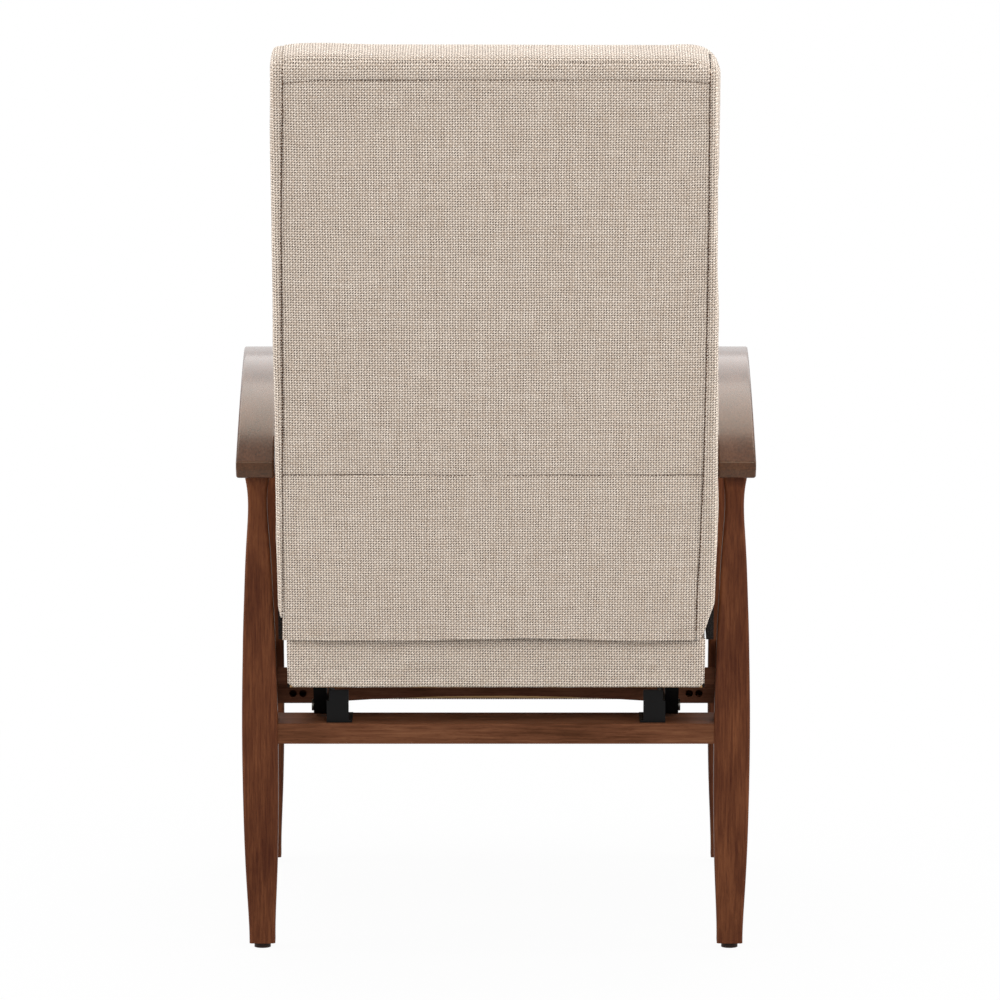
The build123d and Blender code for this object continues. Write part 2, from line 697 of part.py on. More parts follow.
back_post = back_block(back_post_inner_x, back_post_outer_x, back_post_inset,
                       back_post_inset + back_post_depth, back_post_bottom, back_post_top)
pivot_up = ((back_pivot_height - hem_height) * math.cos(lean)
            - (back_pivot_ahead + hem_behind) * math.sin(lean))
pivot_deep = ((back_pivot_ahead + hem_behind) * math.cos(lean)
              + (back_pivot_height - hem_height) * math.sin(lean))
strap_deep = back_post_inset + back_post_depth
bracket = back_block(link_a_inner_x, link_a_outer_x, pivot_deep - back_bracket_radius, strap_deep,
                     pivot_up, pivot_up + back_bracket_length)
lobe_turn = Pos(0, -pivot_deep, pivot_up) * Rot(0, 90, 0)
lobe_centre = Pos((link_a_inner_x + link_a_outer_x) / 2, 0, 0) * lobe_turn
lobe = lobe_centre * Cylinder(back_bracket_radius, link_thickness)
pin_cut = Pos(link_a_inner_x, 0, 0) * lobe_turn * Cylinder(pin_radius + pin_clearance, overrun)
bracket = bracket + lobe - pin_cut
back_post = back_post - bracket
bracket_screws = []
for step in back_screw_steps_share:
    up = pivot_up + back_bracket_length * step
    deep = (pivot_deep - back_bracket_radius + strap_deep) / 2
    centre = Pos(link_a_outer_x - screw_length / 2, -deep, up) * Rot(0, 90, 0)
    screw = centre * Cylinder(screw_shank_radius, screw_length)
    bracket_screws.append(screw)
    bracket = bracket - screw
    back_post = back_post - screw

back_rails = {}
rail_deep = back_post_inset + back_rail_depth
for name, start in (("back_bottom_rail", back_post_bottom), ("back_middle_rail", middle_rail_rise),
                    ("back_top_rail", back_post_top - back_rail_height)):
    back_rails[name] = back_block(-back_post_inner_x, back_post_inner_x, back_post_inset, rail_deep,
                                  start, start + back_rail_height)
webbing = []
webbing_step = (back_post_top - back_post_bottom - webbing_width) / webbing_count
for number in range(webbing_count):
    start = back_post_bottom + webbing_step * (number + 1 / 2)
    webbing.append(back_block(-back_post_outer_x, back_post_outer_x, strap_deep,
                              strap_deep + webbing_thickness, start, start + webbing_width))

side_pad = back_block(back_post_outer_x + fit_gap, back_half_width, cloth + fit_gap, side_pad_depth,
                      side_pad_bottom, roll_start - fit_gap)
side_pad = fillet(side_pad.edges().filter_by(Axis.Z).group_by(Axis.X)[-1], side_pad_round)
top_roll = back_block(-back_half_width, back_half_width, 0, side_pad_depth, roll_start, back_length)
top_roll = fillet(top_roll.edges().filter_by(Axis.X).group_by(Axis.Z)[-1]
                  + top_roll.edges().filter_by(Axis.Z), roll_round)
back_panel = back_block(-back_panel_half_width, back_panel_half_width, 0, cloth,
                        middle_seam_rise + fit_gap, roll_start - fit_gap)
back_flap = back_block(-back_panel_half_width, back_panel_half_width, 0, cloth, 0, middle_seam_rise)

bolster_names = ["lumbar_bolster", "middle_bolster", "head_bolster"]
bolsters = {}
bolster_start = bolster_bottom
bolster_total = bolster_top - bolster_bottom
face = side_pad_depth + fit_gap
for name, share in zip(bolster_names, bolster_height_shares):
    tall = bolster_total * share - bolster_seam_gap
    thick = bolster_depth + (headrest_extra_depth if name == "head_bolster" else 0)
    pad = cushion(2 * (back_half_width - bolster_side_bulge), tall - 2 * bolster_side_bulge, thick,
                  bolster_side_bulge, bolster_corner)
    bolsters[name] = Pos(0, -face, bolster_start + tall / 2) * Rot(90, 0, 0) * pad
    bolster_start = bolster_start + tall + bolster_seam_gap
lining = back_block(-back_half_width + side_pad_round, back_half_width - side_pad_round,
                    strap_deep + webbing_thickness + fit_gap, side_pad_depth, side_pad_bottom,
                    roll_start - fit_gap)
lining = lining - side_pad - mirrored(side_pad)

# Footrest linkage

link_a = bar_plate(link_a_inner_x, link_a_outer_x, link_a_pivot, knee, link_half_width)
link_a = link_a - pin_hole(*link_a_pivot, pin_clearance)
link_b = bar_plate(link_b_inner_x, link_b_outer_x, link_b_pivot, link_b_knee, link_half_width)
link_b = link_b - pin_hole(*link_b_pivot, pin_clearance)
carrier = bar_plate(carrier_inner_x, carrier_outer_x, knee, tip, link_half_width)
knee_pin = pivot_pin(carrier_inner_x, link_a_outer_x - pin_head_height, *knee)
link_b_pin = pivot_pin(link_b_inner_x + pin_head_height, carrier_outer_x, *link_b_knee)
tip_pin = pivot_pin(carrier_inner_x, link_a_outer_x, *tip)
link_a = link_a - knee_pin
link_b = link_b - link_b_pin
carrier = carrier - pin_hole(*knee, pin_clearance) - pin_hole(*link_b_knee, open_pin_clearance) - tip_pin
bar_along = carrier_length * cross_bar_share
bar_centre = Pos(0, rear_face_y - knee[0] - bar_along * math.cos(slope),
                 knee[1] + bar_along * math.sin(slope))
cross_bar = bar_centre * Rot(-carrier_slope_degrees, 0, 0) * Box(2 * carrier_inner_x, cross_bar_width,
                                                                 steel)

board_front = footrest_rear_ahead + footrest_board_thickness
footrest_board_half = footrest_half_width - footrest_board_inset
footrest_board = block(-footrest_board_half, footrest_board_half, footrest_rear_ahead, board_front,
                       footrest_bottom + footrest_board_inset, footrest_top - footrest_board_inset)
flange_rear = footrest_rear_ahead - steel
flange_bottom = tip[1] - footrest_bracket_length / 2
flange_top = tip[1] + footrest_bracket_length / 2
bracket_eye = bar_plate(link_a_inner_x, link_a_outer_x, tip, (tip[0], tip[1] + footrest_bracket_length / 4),
                        link_half_width)
bracket_arm = block(link_a_inner_x, link_a_outer_x, tip[0], footrest_rear_ahead, flange_bottom, flange_top)
flange = block(link_a_outer_x, link_a_outer_x + link_half_width * 2, flange_rear, footrest_rear_ahead,
               flange_bottom, flange_top)
footrest_bracket = bracket_eye + bracket_arm + flange - pin_hole(*tip, pin_clearance)
footrest_pad_centre = Pos(0, rear_face_y - board_front - fit_gap, (footrest_bottom + footrest_top) / 2)
footrest_pad = footrest_pad_centre * Rot(90, 0, 0) * cushion(
    2 * (footrest_half_width - footrest_pad_bulge), footrest_height - 2 * footrest_pad_bulge,
    footrest_pad_thickness + footrest_pad_crown, footrest_pad_bulge, footrest_pad_corner)

# Files

for name, shape in right_pieces.items():
    save(name + "_right", shape)
    save(name + "_left", mirrored(shape))
save("stretcher", stretcher)
save("middle_board", middle_board)
save("foot_glides", group([pair(glide) for glide in glides]))
save("frame_dowels", group([pair(dowel) for dowel in side_dowels]))
save("base_rails", pair(base_rail))
save("base_screws", group([pair(screw) for screw in base_screws]))
save("base_pins", group([pair(pin) for pin in base_pins]))
save("rear_rockers", pair(rear_rocker))
save("front_rockers", pair(front_rocker))
save("seat_side_plates", pair(seat_plate))
save("seat_pivot_pins", group([pair(pin) for pin in seat_pins]))
save("seat_plate_screws", group([pair(screw) for screw in plate_screws]))
save("seat_side_rails", pair(seat_side_rail))
save("seat_front_rail", front_rail)
save("seat_deck_rail", deck_rail)
save("seat_rear_strip", rear_strip)
save("seat_corner_blocks", pair(corner_block))
save("seat_springs", group(springs))
save("seat_spring_clips", group(spring_clips))
save("seat_pad", seat_pad)
save("seat_rear_border", rear_border)
save("seat_front_border", front_border)
save("seat_side_borders", pair(side_border))
save("seat_side_linings", pair(side_lining))
save("back_posts", leaned(pair(back_post)))
for name, rail in back_rails.items():
    save(name, leaned(rail))
save("back_webbing", leaned(group(webbing)))
save("back_brackets", leaned(pair(bracket)))
save("back_bracket_screws", leaned(group([pair(screw) for screw in bracket_screws])))
save("back_side_pad_right", leaned(side_pad))
save("back_side_pad_left", leaned(mirrored(side_pad)))
save("back_lining", leaned(lining))
save("back_top_roll", leaned(top_roll))
save("back_panel", leaned(back_panel))
save("back_flap", leaned(back_flap))
for name, bolster in bolsters.items():
    save(name, leaned(bolster))
save("footrest_front_links", pair(link_a))
save("footrest_knee_pins", pair(knee_pin))
save("footrest_rear_links", pair(link_b))
save("footrest_rear_pins", pair(link_b_pin))
save("footrest_carriers", pair(carrier))
save("footrest_cross_bar", cross_bar)
save("footrest_tip_pins", pair(tip_pin))
save("footrest_brackets", pair(footrest_bracket))
save("footrest_board", footrest_board)
save("footrest_pad", footrest_pad)
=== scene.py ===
import math

import bmesh
import bpy
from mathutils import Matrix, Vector, noise


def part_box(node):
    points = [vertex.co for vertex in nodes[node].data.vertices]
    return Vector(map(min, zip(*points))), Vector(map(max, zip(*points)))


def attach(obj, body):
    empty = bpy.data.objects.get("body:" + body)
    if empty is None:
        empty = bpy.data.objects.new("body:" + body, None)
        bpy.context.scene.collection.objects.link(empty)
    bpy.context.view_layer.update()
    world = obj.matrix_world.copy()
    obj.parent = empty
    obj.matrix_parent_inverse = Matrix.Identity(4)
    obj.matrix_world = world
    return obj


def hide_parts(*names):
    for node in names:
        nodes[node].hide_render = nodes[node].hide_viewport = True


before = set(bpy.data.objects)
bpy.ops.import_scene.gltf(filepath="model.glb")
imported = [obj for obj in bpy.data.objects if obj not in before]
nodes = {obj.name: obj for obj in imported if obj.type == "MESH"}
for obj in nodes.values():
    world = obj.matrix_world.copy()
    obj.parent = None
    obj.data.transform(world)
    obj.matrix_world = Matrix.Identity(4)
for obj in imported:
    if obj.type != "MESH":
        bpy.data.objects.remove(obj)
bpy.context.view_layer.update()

MM = 0.001

# The photograph: a long lens behind the chair, a little above the back's middle, looking
# slightly down, with the chair a few pixels left of the middle.
camera_distance = 7.0
camera_height = 1.5
camera_pitch = math.radians(7.85)
camera_lens = 216.8
rear_face_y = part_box("rear_leg_right")[1].y
camera_data = bpy.data.cameras.new("photo_camera")
camera_data.lens = camera_lens
camera_data.sensor_width = 36.0
camera_data.shift_x = 0.004
camera_data.shift_y = 0.0036
camera = bpy.data.objects.new("photo_camera", camera_data)
camera.location = (0, rear_face_y + camera_distance, camera_height)
camera.rotation_euler = (math.pi / 2 - camera_pitch, 0, math.pi)
bpy.context.scene.collection.objects.link(camera)
bpy.context.scene.camera = camera
bpy.context.scene.view_settings.view_transform = "Standard"
bpy.context.scene.cycles.denoising_prefilter = "NONE"    # keeps the fine weave


# Room: a white studio floor that keeps a faint shadow, a white surround and six softboxes. The
# lacquered arms mirror the high one in front of the chair.

def linear(hex_colour):
    """An sRGB hex colour as the linear colour that sockets take."""
    channels = [int(hex_colour[i:i + 2], 16) / 255 for i in (1, 3, 5)]
    return [c / 12.92 if c <= 0.04045 else ((c + 0.055) / 1.055) ** 2.4 for c in channels] + [1.0]


def add_node(tree, kind, settings=None, inputs=None):
    """A node with its settings; inputs are values or the sockets that feed them."""
    node = tree.nodes.new(kind)
    for key, value in (settings or {}).items():
        setattr(node, key, value)
    for key, value in (inputs or {}).items():
        socket = node.inputs[key]
        if isinstance(value, bpy.types.NodeSocket):
            tree.links.new(value, socket)
        else:
            socket.default_value = value
    return node


def figure(tree, operation, *values):
    """The result of one sum on sockets or numbers."""
    return add_node(tree, "ShaderNodeMath", {"operation": operation}, dict(enumerate(values))).outputs[0]


def new_material(name):
    """An empty material tree with its output."""
    material = bpy.data.materials.new(name)
    material.use_nodes = True
    tree = material.node_tree
    tree.nodes.clear()
    output = add_node(tree, "ShaderNodeOutputMaterial")
    return material, tree, output


def softbox(name, size, strength, place, aim):
    """A rectangular area lamp that looks at a point."""
    data = bpy.data.lights.new(name, "AREA")
    data.shape = "RECTANGLE"
    data.size, data.size_y = size
    data.energy = strength
    lamp = bpy.data.objects.new(name, data)
    lamp.location = place
    direction = Vector(aim) - Vector(place)
    lamp.rotation_euler = direction.to_track_quat("-Z", "Y").to_euler()
    bpy.context.scene.collection.objects.link(lamp)
    return lamp


softbox("softbox_behind", (3.4, 2.4), 97.0, (-1.2, 4.4, 3.0), (0, 0.3, 0.5))
softbox("softbox_left", (2.0, 2.4), 92.0, (3.5, 0.5, 1.9), (0, 0.1, 0.6))
softbox("softbox_right", (2.0, 2.4), 80.0, (-3.5, 0.5, 1.9), (0, 0.1, 0.6))
softbox("softbox_front_high", (4.4, 1.9), 84.0, (0, -1.75, 3.5), (0, 0, 0.6))
softbox("softbox_front_low", (4.4, 1.7), 30.0, (0, -3.2, 2.45), (0, 0, 0.6))
softbox("softbox_above", (3.0, 3.0), 16.0, (0, 0.5, 4.2), (0, 0, 0.6)).visible_glossy = False

world = bpy.data.worlds.new("studio")
bpy.context.scene.world = world
world.use_nodes = True
sky = world.node_tree
sky.nodes.clear()
ray = add_node(sky, "ShaderNodeLightPath")
mirrored_ray = figure(sky, "MAXIMUM", ray.outputs["Is Camera Ray"], ray.outputs["Is Glossy Ray"])
seen_ray = figure(sky, "MAXIMUM", mirrored_ray, ray.outputs["Is Transmission Ray"])
seen = add_node(sky, "ShaderNodeBackground", None, {"Color": (1, 1, 1, 1), "Strength": 1.0})
fill = add_node(sky, "ShaderNodeBackground", None, {"Color": (1, 1, 1, 1), "Strength": 0.48})
sky_mix = add_node(sky, "ShaderNodeMixShader", None,
                   {0: seen_ray, 1: fill.outputs[0], 2: seen.outputs[0]})
add_node(sky, "ShaderNodeOutputWorld", None, {"Surface": sky_mix.outputs[0]})

floor_white, tree, output = new_material("studio_floor")
floor_ray = add_node(tree, "ShaderNodeLightPath")
floor_paint = add_node(tree, "ShaderNodeBsdfDiffuse", None, {"Color": (0.6, 0.6, 0.6, 1)})
floor_glow = add_node(tree, "ShaderNodeEmission", None, {"Color": (1, 1, 1, 1), "Strength": 1.0})
floor_seen = figure(tree, "MAXIMUM", floor_ray.outputs["Is Camera Ray"], floor_ray.outputs["Is Glossy Ray"])
floor_place = add_node(tree, "ShaderNodeTexCoord")
floor_far = add_node(tree, "ShaderNodeVectorMath", {"operation": "LENGTH"}, {0: floor_place.outputs["Object"]})
floor_white_share = add_node(tree, "ShaderNodeMapRange", {"clamp": True},
                             {"Value": floor_far.outputs["Value"], "From Min": 0.45, "From Max": 1.5,
                              "To Min": 0.955, "To Max": 1.0})
floor_share = figure(tree, "MULTIPLY", floor_seen, floor_white_share.outputs[0])
floor_mix = add_node(tree, "ShaderNodeMixShader", None,
                     {0: floor_share, 1: floor_paint.outputs[0], 2: floor_glow.outputs[0]})
tree.links.new(floor_mix.outputs[0], output.inputs["Surface"])

floor_half = 6.0
floor_mesh = bpy.data.meshes.new("studio_floor")
floor_mesh.from_pydata([(-floor_half, -floor_half, 0), (floor_half, -floor_half, 0),
                        (floor_half, floor_half, 0), (-floor_half, floor_half, 0)], [], [(0, 1, 2, 3)])
floor = bpy.data.objects.new("studio_floor", floor_mesh)
floor_mesh.materials.append(floor_white)
bpy.context.scene.collection.objects.link(floor)


# Legs, arms, side rails and boards: solid hardwood, sanded, stained dark walnut and sprayed
# with a satin lacquer. The legs are turned square spindles, doweled into the sawn bow arms.

def dress(material, *names):
    """Gives CAD nodes a material in every slot."""
    for name in names:
        mesh = nodes[name].data
        if not mesh.materials:
            mesh.materials.append(material)
        for index in range(len(mesh.materials)):
            mesh.materials[index] = material


def stained_wood(name, along, deep, mid, pale, lacquer=0.42, shine=0.14, coat=0.0, shine_tint="#ffffff"):
    """Open-grained stained wood: long fibres, short dark pores and slow colour drift.
    The lacquer gives the eye a soft window-like shine at low angles."""
    material, tree, output = new_material(name)
    place = add_node(tree, "ShaderNodeTexCoord")

    def drawn_out(share):
        scale = [share if axis == along else 1.0 for axis in range(3)]
        return add_node(tree, "ShaderNodeMapping", None,
                        {"Vector": place.outputs["Object"], "Scale": scale}).outputs[0]

    fibre = add_node(tree, "ShaderNodeTexNoise", None,
                     {"Vector": drawn_out(0.045), "Scale": 420.0, "Detail": 5.0, "Roughness": 0.62})
    drift = add_node(tree, "ShaderNodeTexNoise", None,
                     {"Vector": drawn_out(0.22), "Scale": 34.0, "Detail": 3.0, "Roughness": 0.55})
    pore = add_node(tree, "ShaderNodeTexVoronoi", {"feature": "F1"}, {"Vector": drawn_out(0.09), "Scale": 900.0})
    pore_mask = add_node(tree, "ShaderNodeMapRange", {"clamp": True},
                         {"Value": pore.outputs["Distance"], "From Min": 0.10, "From Max": 0.32,
                          "To Min": 1.0, "To Max": 0.0})
    blended = figure(tree, "MULTIPLY_ADD", fibre.outputs["Fac"], 0.62, 0.0)
    total = figure(tree, "MULTIPLY_ADD", drift.outputs["Fac"], 0.52, blended)
    ramp = add_node(tree, "ShaderNodeValToRGB", None, {"Fac": total})
    first, last = ramp.color_ramp.elements
    first.position, first.color = 0.40, linear(deep)
    last.position, last.color = 0.76, linear(pale)
    ramp.color_ramp.elements.new(0.57).color = linear(mid)
    darker = add_node(tree, "ShaderNodeMix", {"data_type": "RGBA", "blend_type": "MULTIPLY"},
                      {0: pore_mask.outputs[0], 6: ramp.outputs["Color"], 7: (0.72, 0.66, 0.62, 1)})
    rough = add_node(tree, "ShaderNodeMapRange", None,
                     {"Value": fibre.outputs["Fac"], "To Min": lacquer - 0.06, "To Max": lacquer + 0.08})
    height = figure(tree, "MULTIPLY_ADD", pore_mask.outputs[0], -0.7, fibre.outputs["Fac"])
    bump = add_node(tree, "ShaderNodeBump", None,
                    {"Height": height, "Strength": 0.16, "Distance": 0.0004})
    shader = add_node(tree, "ShaderNodeBsdfPrincipled", None,
                      {"Base Color": darker.outputs[2], "Roughness": rough.outputs[0],
                       "Normal": bump.outputs[0], "Specular IOR Level": shine, "Specular Tint": linear(shine_tint),
                       "Coat Weight": coat, "Coat Roughness": 0.16})
    tree.links.new(shader.outputs[0], output.inputs["Surface"])
    return material


leg_wood = stained_wood("walnut_stain_upright", 2, "#421d0e", "#59301b", "#734429", 0.46, 0.10)
arm_wood = stained_wood("walnut_stain_arm", 1, "#371c11", "#4b2919", "#5c3927", 0.18, 0.40, 0.1, "#ffeecb")
rail_wood = stained_wood("walnut_stain_rail", 1, "#3a1f12", "#4c2b1a", "#5f3a26", 0.5, 0.05)
board_wood = stained_wood("walnut_stain_board", 0, "#4a2c1b", "#643e2a", "#7c5239", 0.5, 0.03)
# The middle board takes a darker copy of the board stain, with no shine: unpolished, and painted shade under the
# seat.
unpolished_shaded_wood = stained_wood("walnut_stain_unpolished_painted_shade", 0, "#40261a", "#543527", "#664433", 0.6, 0.0)
dress(leg_wood, "rear_leg_left", "rear_leg_right", "front_leg_left", "front_leg_right")
dress(arm_wood, "arm_left", "arm_right")
dress(rail_wood, "side_rail_left", "side_rail_right")
dress(board_wood, "stretcher")
dress(unpolished_shaded_wood, "middle_board")

# Hidden frame wood: pale unstained beech and pine, sawn and planed only, stapled and glued.
bare_wood = stained_wood("bare_beech", 0, "#a8835a", "#c09a6c", "#d0ad80", 0.6)
bare_wood_long = stained_wood("bare_beech_long", 1, "#a8835a", "#c09a6c", "#d0ad80", 0.6)
bare_wood_tall = stained_wood("bare_beech_tall", 2, "#a8835a", "#c09a6c", "#d0ad80", 0.6)
dress(bare_wood, "seat_front_rail", "seat_deck_rail", "seat_rear_strip", "seat_corner_blocks",
      "back_bottom_rail", "back_middle_rail", "back_top_rail", "footrest_board")
dress(bare_wood_long, "seat_side_rails")
dress(bare_wood_tall, "back_posts", "frame_dowels")


# Mechanism: base rails, rockers, plates and links stamped from steel strip and powder coated
# satin black; rivets and screws are zinc plated and passivated dark.

def coated_metal(name, colour, rough, metallic, grain):
    """Sprayed or plated steel: a fine orange-peel that breaks up its shine."""
    material, tree, output = new_material(name)
    place = add_node(tree, "ShaderNodeTexCoord")
    peel = add_node(tree, "ShaderNodeTexNoise", None,
                    {"Vector": place.outputs["Object"], "Scale": grain, "Detail": 3.0})
    tint = add_node(tree, "ShaderNodeMix", {"data_type": "RGBA", "blend_type": "MULTIPLY"},
                    {0: 0.35, 6: linear(colour), 7: peel.outputs["Color"]})
    spread = add_node(tree, "ShaderNodeMapRange", None,
                      {"Value": peel.outputs["Fac"], "To Min": rough - 0.08, "To Max": rough + 0.12})
    bump = add_node(tree, "ShaderNodeBump", None,
                    {"Height": peel.outputs["Fac"], "Strength": 0.25, "Distance": 0.0003})
    shader = add_node(tree, "ShaderNodeBsdfPrincipled", None,
                      {"Base Color": tint.outputs[2], "Roughness": spread.outputs[0],
                       "Metallic": metallic, "Specular IOR Level": 0.5 if metallic else 0.12,
                       "Normal": bump.outputs[0]})
    tree.links.new(shader.outputs[0], output.inputs["Surface"])
    return material


black_coat = coated_metal("black_powder_coat", "#0c0b0b", 0.5, 0.0, 700.0)
dark_zinc = coated_metal("dark_zinc_plate", "#7d7a74", 0.34, 1.0, 400.0)
spring_steel = coated_metal("oiled_spring_steel", "#4b4845", 0.38, 1.0, 500.0)
glide_nylon = coated_metal("brown_glide_nylon", "#3a2c25", 0.5, 0.0, 300.0)
dress(black_coat, "base_rails", "front_rockers", "rear_rockers", "seat_side_plates", "back_brackets",
      "footrest_front_links", "footrest_rear_links", "footrest_carriers", "footrest_cross_bar",
      "footrest_brackets")
dress(dark_zinc, "base_screws", "base_pins", "seat_pivot_pins", "seat_plate_screws", "back_bracket_screws",
      "footrest_knee_pins", "footrest_rear_pins", "footrest_tip_pins")
dress(spring_steel, "seat_springs", "seat_spring_clips")
dress(glide_nylon, "foot_glides")


# Cover cloth: a plain weave of thick beige slub yarn, about 3 mm from thread to thread, whose open
# corners are painted dark brown as painted shade. Every cover on the chair is cut from it.

thread_pitch = 3.1 * MM
lean = math.radians(15.0)


def weave_plane(tree, across, up):
    """One flat face of plain weave: how open each corner is (the mask of the painted shade between the
    yarns), the height of the yarns, and which of the two threads lies on top. The corners are drawn out along one
    diagonal by the twist."""
    waves, twice = [], []
    for source in (across, up):
        turned = figure(tree, "MULTIPLY", source, math.pi / thread_pitch)
        waves.append(figure(tree, "SINE", turned))
        double = figure(tree, "MULTIPLY", turned, 2.0)
        twice.append(figure(tree, "SINE", double))
    parity = figure(tree, "MULTIPLY", waves[0], waves[1])
    twist = figure(tree, "MULTIPLY", twice[0], twice[1])
    sizes = [figure(tree, "ABSOLUTE", wave) for wave in waves]
    larger = figure(tree, "MAXIMUM", sizes[0], sizes[1])
    drawn = figure(tree, "MULTIPLY_ADD", twist, 0.20, larger)
    gap_shade_mask = add_node(tree, "ShaderNodeMapRange", {"clamp": True, "interpolation_type": "SMOOTHSTEP"},
                    {"Value": drawn, "From Min": 0.50, "From Max": 1.06, "To Min": 1.0, "To Max": 0.0})
    both = figure(tree, "MULTIPLY", sizes[0], sizes[1])
    dome = figure(tree, "POWER", both, 0.55)
    return gap_shade_mask.outputs[0], dome, parity


def woven_cloth(name, turn, light, shade, gap_shade_colour, sheen=0.25):
    """Coarse woven cloth on the three planes of a piece, turned about X to follow its face.
    Gives a matt surface, dotted with painted shade in the open corners, with slubs along both threads."""
    material, tree, output = new_material(name)
    place = add_node(tree, "ShaderNodeTexCoord")
    ripple = add_node(tree, "ShaderNodeTexNoise", None,
                      {"Vector": place.outputs["Object"], "Scale": 26.0, "Detail": 2.0})
    centred = add_node(tree, "ShaderNodeVectorMath", {"operation": "SUBTRACT"},
                       {0: ripple.outputs["Color"], 1: (0.5, 0.5, 0.5)})
    shifted = add_node(tree, "ShaderNodeVectorMath", {"operation": "SCALE"}, {0: centred.outputs[0], "Scale": 0.0022})
    moved = add_node(tree, "ShaderNodeVectorMath", {"operation": "ADD"},
                     {0: place.outputs["Object"], 1: shifted.outputs[0]})
    flat = add_node(tree, "ShaderNodeMapping", {"vector_type": "POINT"},
                    {"Vector": moved.outputs[0], "Rotation": (turn, 0, 0)})
    facing = add_node(tree, "ShaderNodeMapping", {"vector_type": "POINT"},
                      {"Vector": place.outputs["Normal"], "Rotation": (turn, 0, 0)})
    part = add_node(tree, "ShaderNodeSeparateXYZ", None, {0: flat.outputs[0]})
    side = add_node(tree, "ShaderNodeSeparateXYZ", None, {0: facing.outputs[0]})
    size_x = figure(tree, "ABSOLUTE", side.outputs[0])
    size_y = figure(tree, "ABSOLUTE", side.outputs[1])
    size_z = figure(tree, "ABSOLUTE", side.outputs[2])
    x, y, z = part.outputs[0], part.outputs[1], part.outputs[2]
    upright = weave_plane(tree, x, z)
    sideways = weave_plane(tree, y, z)
    level = weave_plane(tree, x, y)
    widest = figure(tree, "MAXIMUM", size_y, size_z)
    is_side = figure(tree, "GREATER_THAN", size_x, widest)
    is_level = figure(tree, "GREATER_THAN", size_z, size_y)
    chosen = []
    for a, b, c in zip(upright, level, sideways):
        first = add_node(tree, "ShaderNodeMix", None, {0: is_level, 2: a, 3: b})
        second = add_node(tree, "ShaderNodeMix", None, {0: is_side, 2: first.outputs[0], 3: c})
        chosen.append(second.outputs[0])
    gap_shade_mask, dome, parity = chosen
    slubs = []
    for stretch in ((1.0, 1.0, 0.06), (0.06, 1.0, 1.0)):
        run = add_node(tree, "ShaderNodeMapping", None, {"Vector": flat.outputs[0], "Scale": stretch})
        slubs.append(add_node(tree, "ShaderNodeTexNoise", None,
                              {"Vector": run.outputs[0], "Scale": 330.0, "Detail": 2.0}).outputs["Fac"])
    fuzz = add_node(tree, "ShaderNodeTexNoise", None,
                    {"Vector": place.outputs["Object"], "Scale": 1400.0, "Detail": 3.0}).outputs["Fac"]
    slub = add_node(tree, "ShaderNodeMix", None, {0: 0.5, 2: slubs[0], 3: slubs[1]}).outputs[0]
    counted = add_node(tree, "ShaderNodeVectorMath", {"operation": "SCALE"},
                       {0: flat.outputs[0], "Scale": 1 / thread_pitch})
    crossing = add_node(tree, "ShaderNodeVectorMath", {"operation": "FLOOR"}, {0: counted.outputs[0]})
    chance = add_node(tree, "ShaderNodeTexWhiteNoise", {"noise_dimensions": "3D"}, {"Vector": crossing.outputs[0]})
    deeper = add_node(tree, "ShaderNodeMapRange", None,
                      {"Value": chance.outputs["Value"], "To Min": 0.55, "To Max": 1.0})
    gap_shade_mask = figure(tree, "MULTIPLY", gap_shade_mask, deeper.outputs[0])
    tone = figure(tree, "MULTIPLY_ADD", parity, 0.24, slub)
    tone = figure(tree, "MULTIPLY_ADD", fuzz, 0.3, tone)
    tone = figure(tree, "MULTIPLY_ADD", chance.outputs["Value"], 0.22, tone)
    ramp = add_node(tree, "ShaderNodeMapRange", {"clamp": True},
                    {"Value": tone, "From Min": 0.42, "From Max": 1.12})
    yarn = add_node(tree, "ShaderNodeMix", {"data_type": "RGBA"},
                    {0: ramp.outputs[0], 6: linear(shade), 7: linear(light)})
    # Painted shade: the open corners between the yarns take the dark gap colour.
    colour = add_node(tree, "ShaderNodeMix", {"data_type": "RGBA"},
                      {0: gap_shade_mask, 6: yarn.outputs[2], 7: linear(gap_shade_colour)})
    rise = figure(tree, "MULTIPLY_ADD", fuzz, 0.25, dome)
    bump = add_node(tree, "ShaderNodeBump", None,
                    {"Height": rise, "Strength": 0.8, "Distance": 0.0010})
    shader = add_node(tree, "ShaderNodeBsdfPrincipled", None,
                      {"Base Color": colour.outputs[2], "Roughness": 0.92, "Specular IOR Level": 0.2,
                       "Sheen Weight": sheen, "Sheen Roughness": 0.5, "Normal": bump.outputs[0]})
    tree.links.new(shader.outputs[0], output.inputs["Surface"])
    return material


# The third colour of each cloth is painted shade for the open corners of the weave.
cloth_light, cloth_shade, cloth_gap_shade = "#fdefe0", "#cdb9a6", "#301d10"
back_cloth = woven_cloth("beige_weave_leaned", lean, cloth_light, cloth_shade, cloth_gap_shade)
seat_cloth = woven_cloth("beige_weave_level", 0.0, cloth_light, cloth_shade, cloth_gap_shade)
black_lining = woven_cloth("black_lining_weave", 0.0, "#2b2420", "#1a1512", "#0b0908", 0.04)
webbing_cloth = woven_cloth("jute_webbing", lean, "#b79d78", "#8f7855", "#4d3f2c")
dress(webbing_cloth, "back_webbing")
dress(black_lining, "back_lining", "seat_side_linings")


def raw_piece(name, verts, edges, faces):
    """A linked object made from points, edges and faces."""
    mesh = bpy.data.meshes.new(name)
    mesh.from_pydata([tuple(v) for v in verts], edges, faces)
    piece = bpy.data.objects.new(name, mesh)
    bpy.context.scene.collection.objects.link(piece)
    return piece


def settle(piece):
    """Turns a piece's modifiers into its mesh."""
    graph = bpy.context.evaluated_depsgraph_get()
    mesh = bpy.data.meshes.new_from_object(piece.evaluated_get(graph))
    piece.modifiers.clear()
    piece.data = mesh
    return mesh


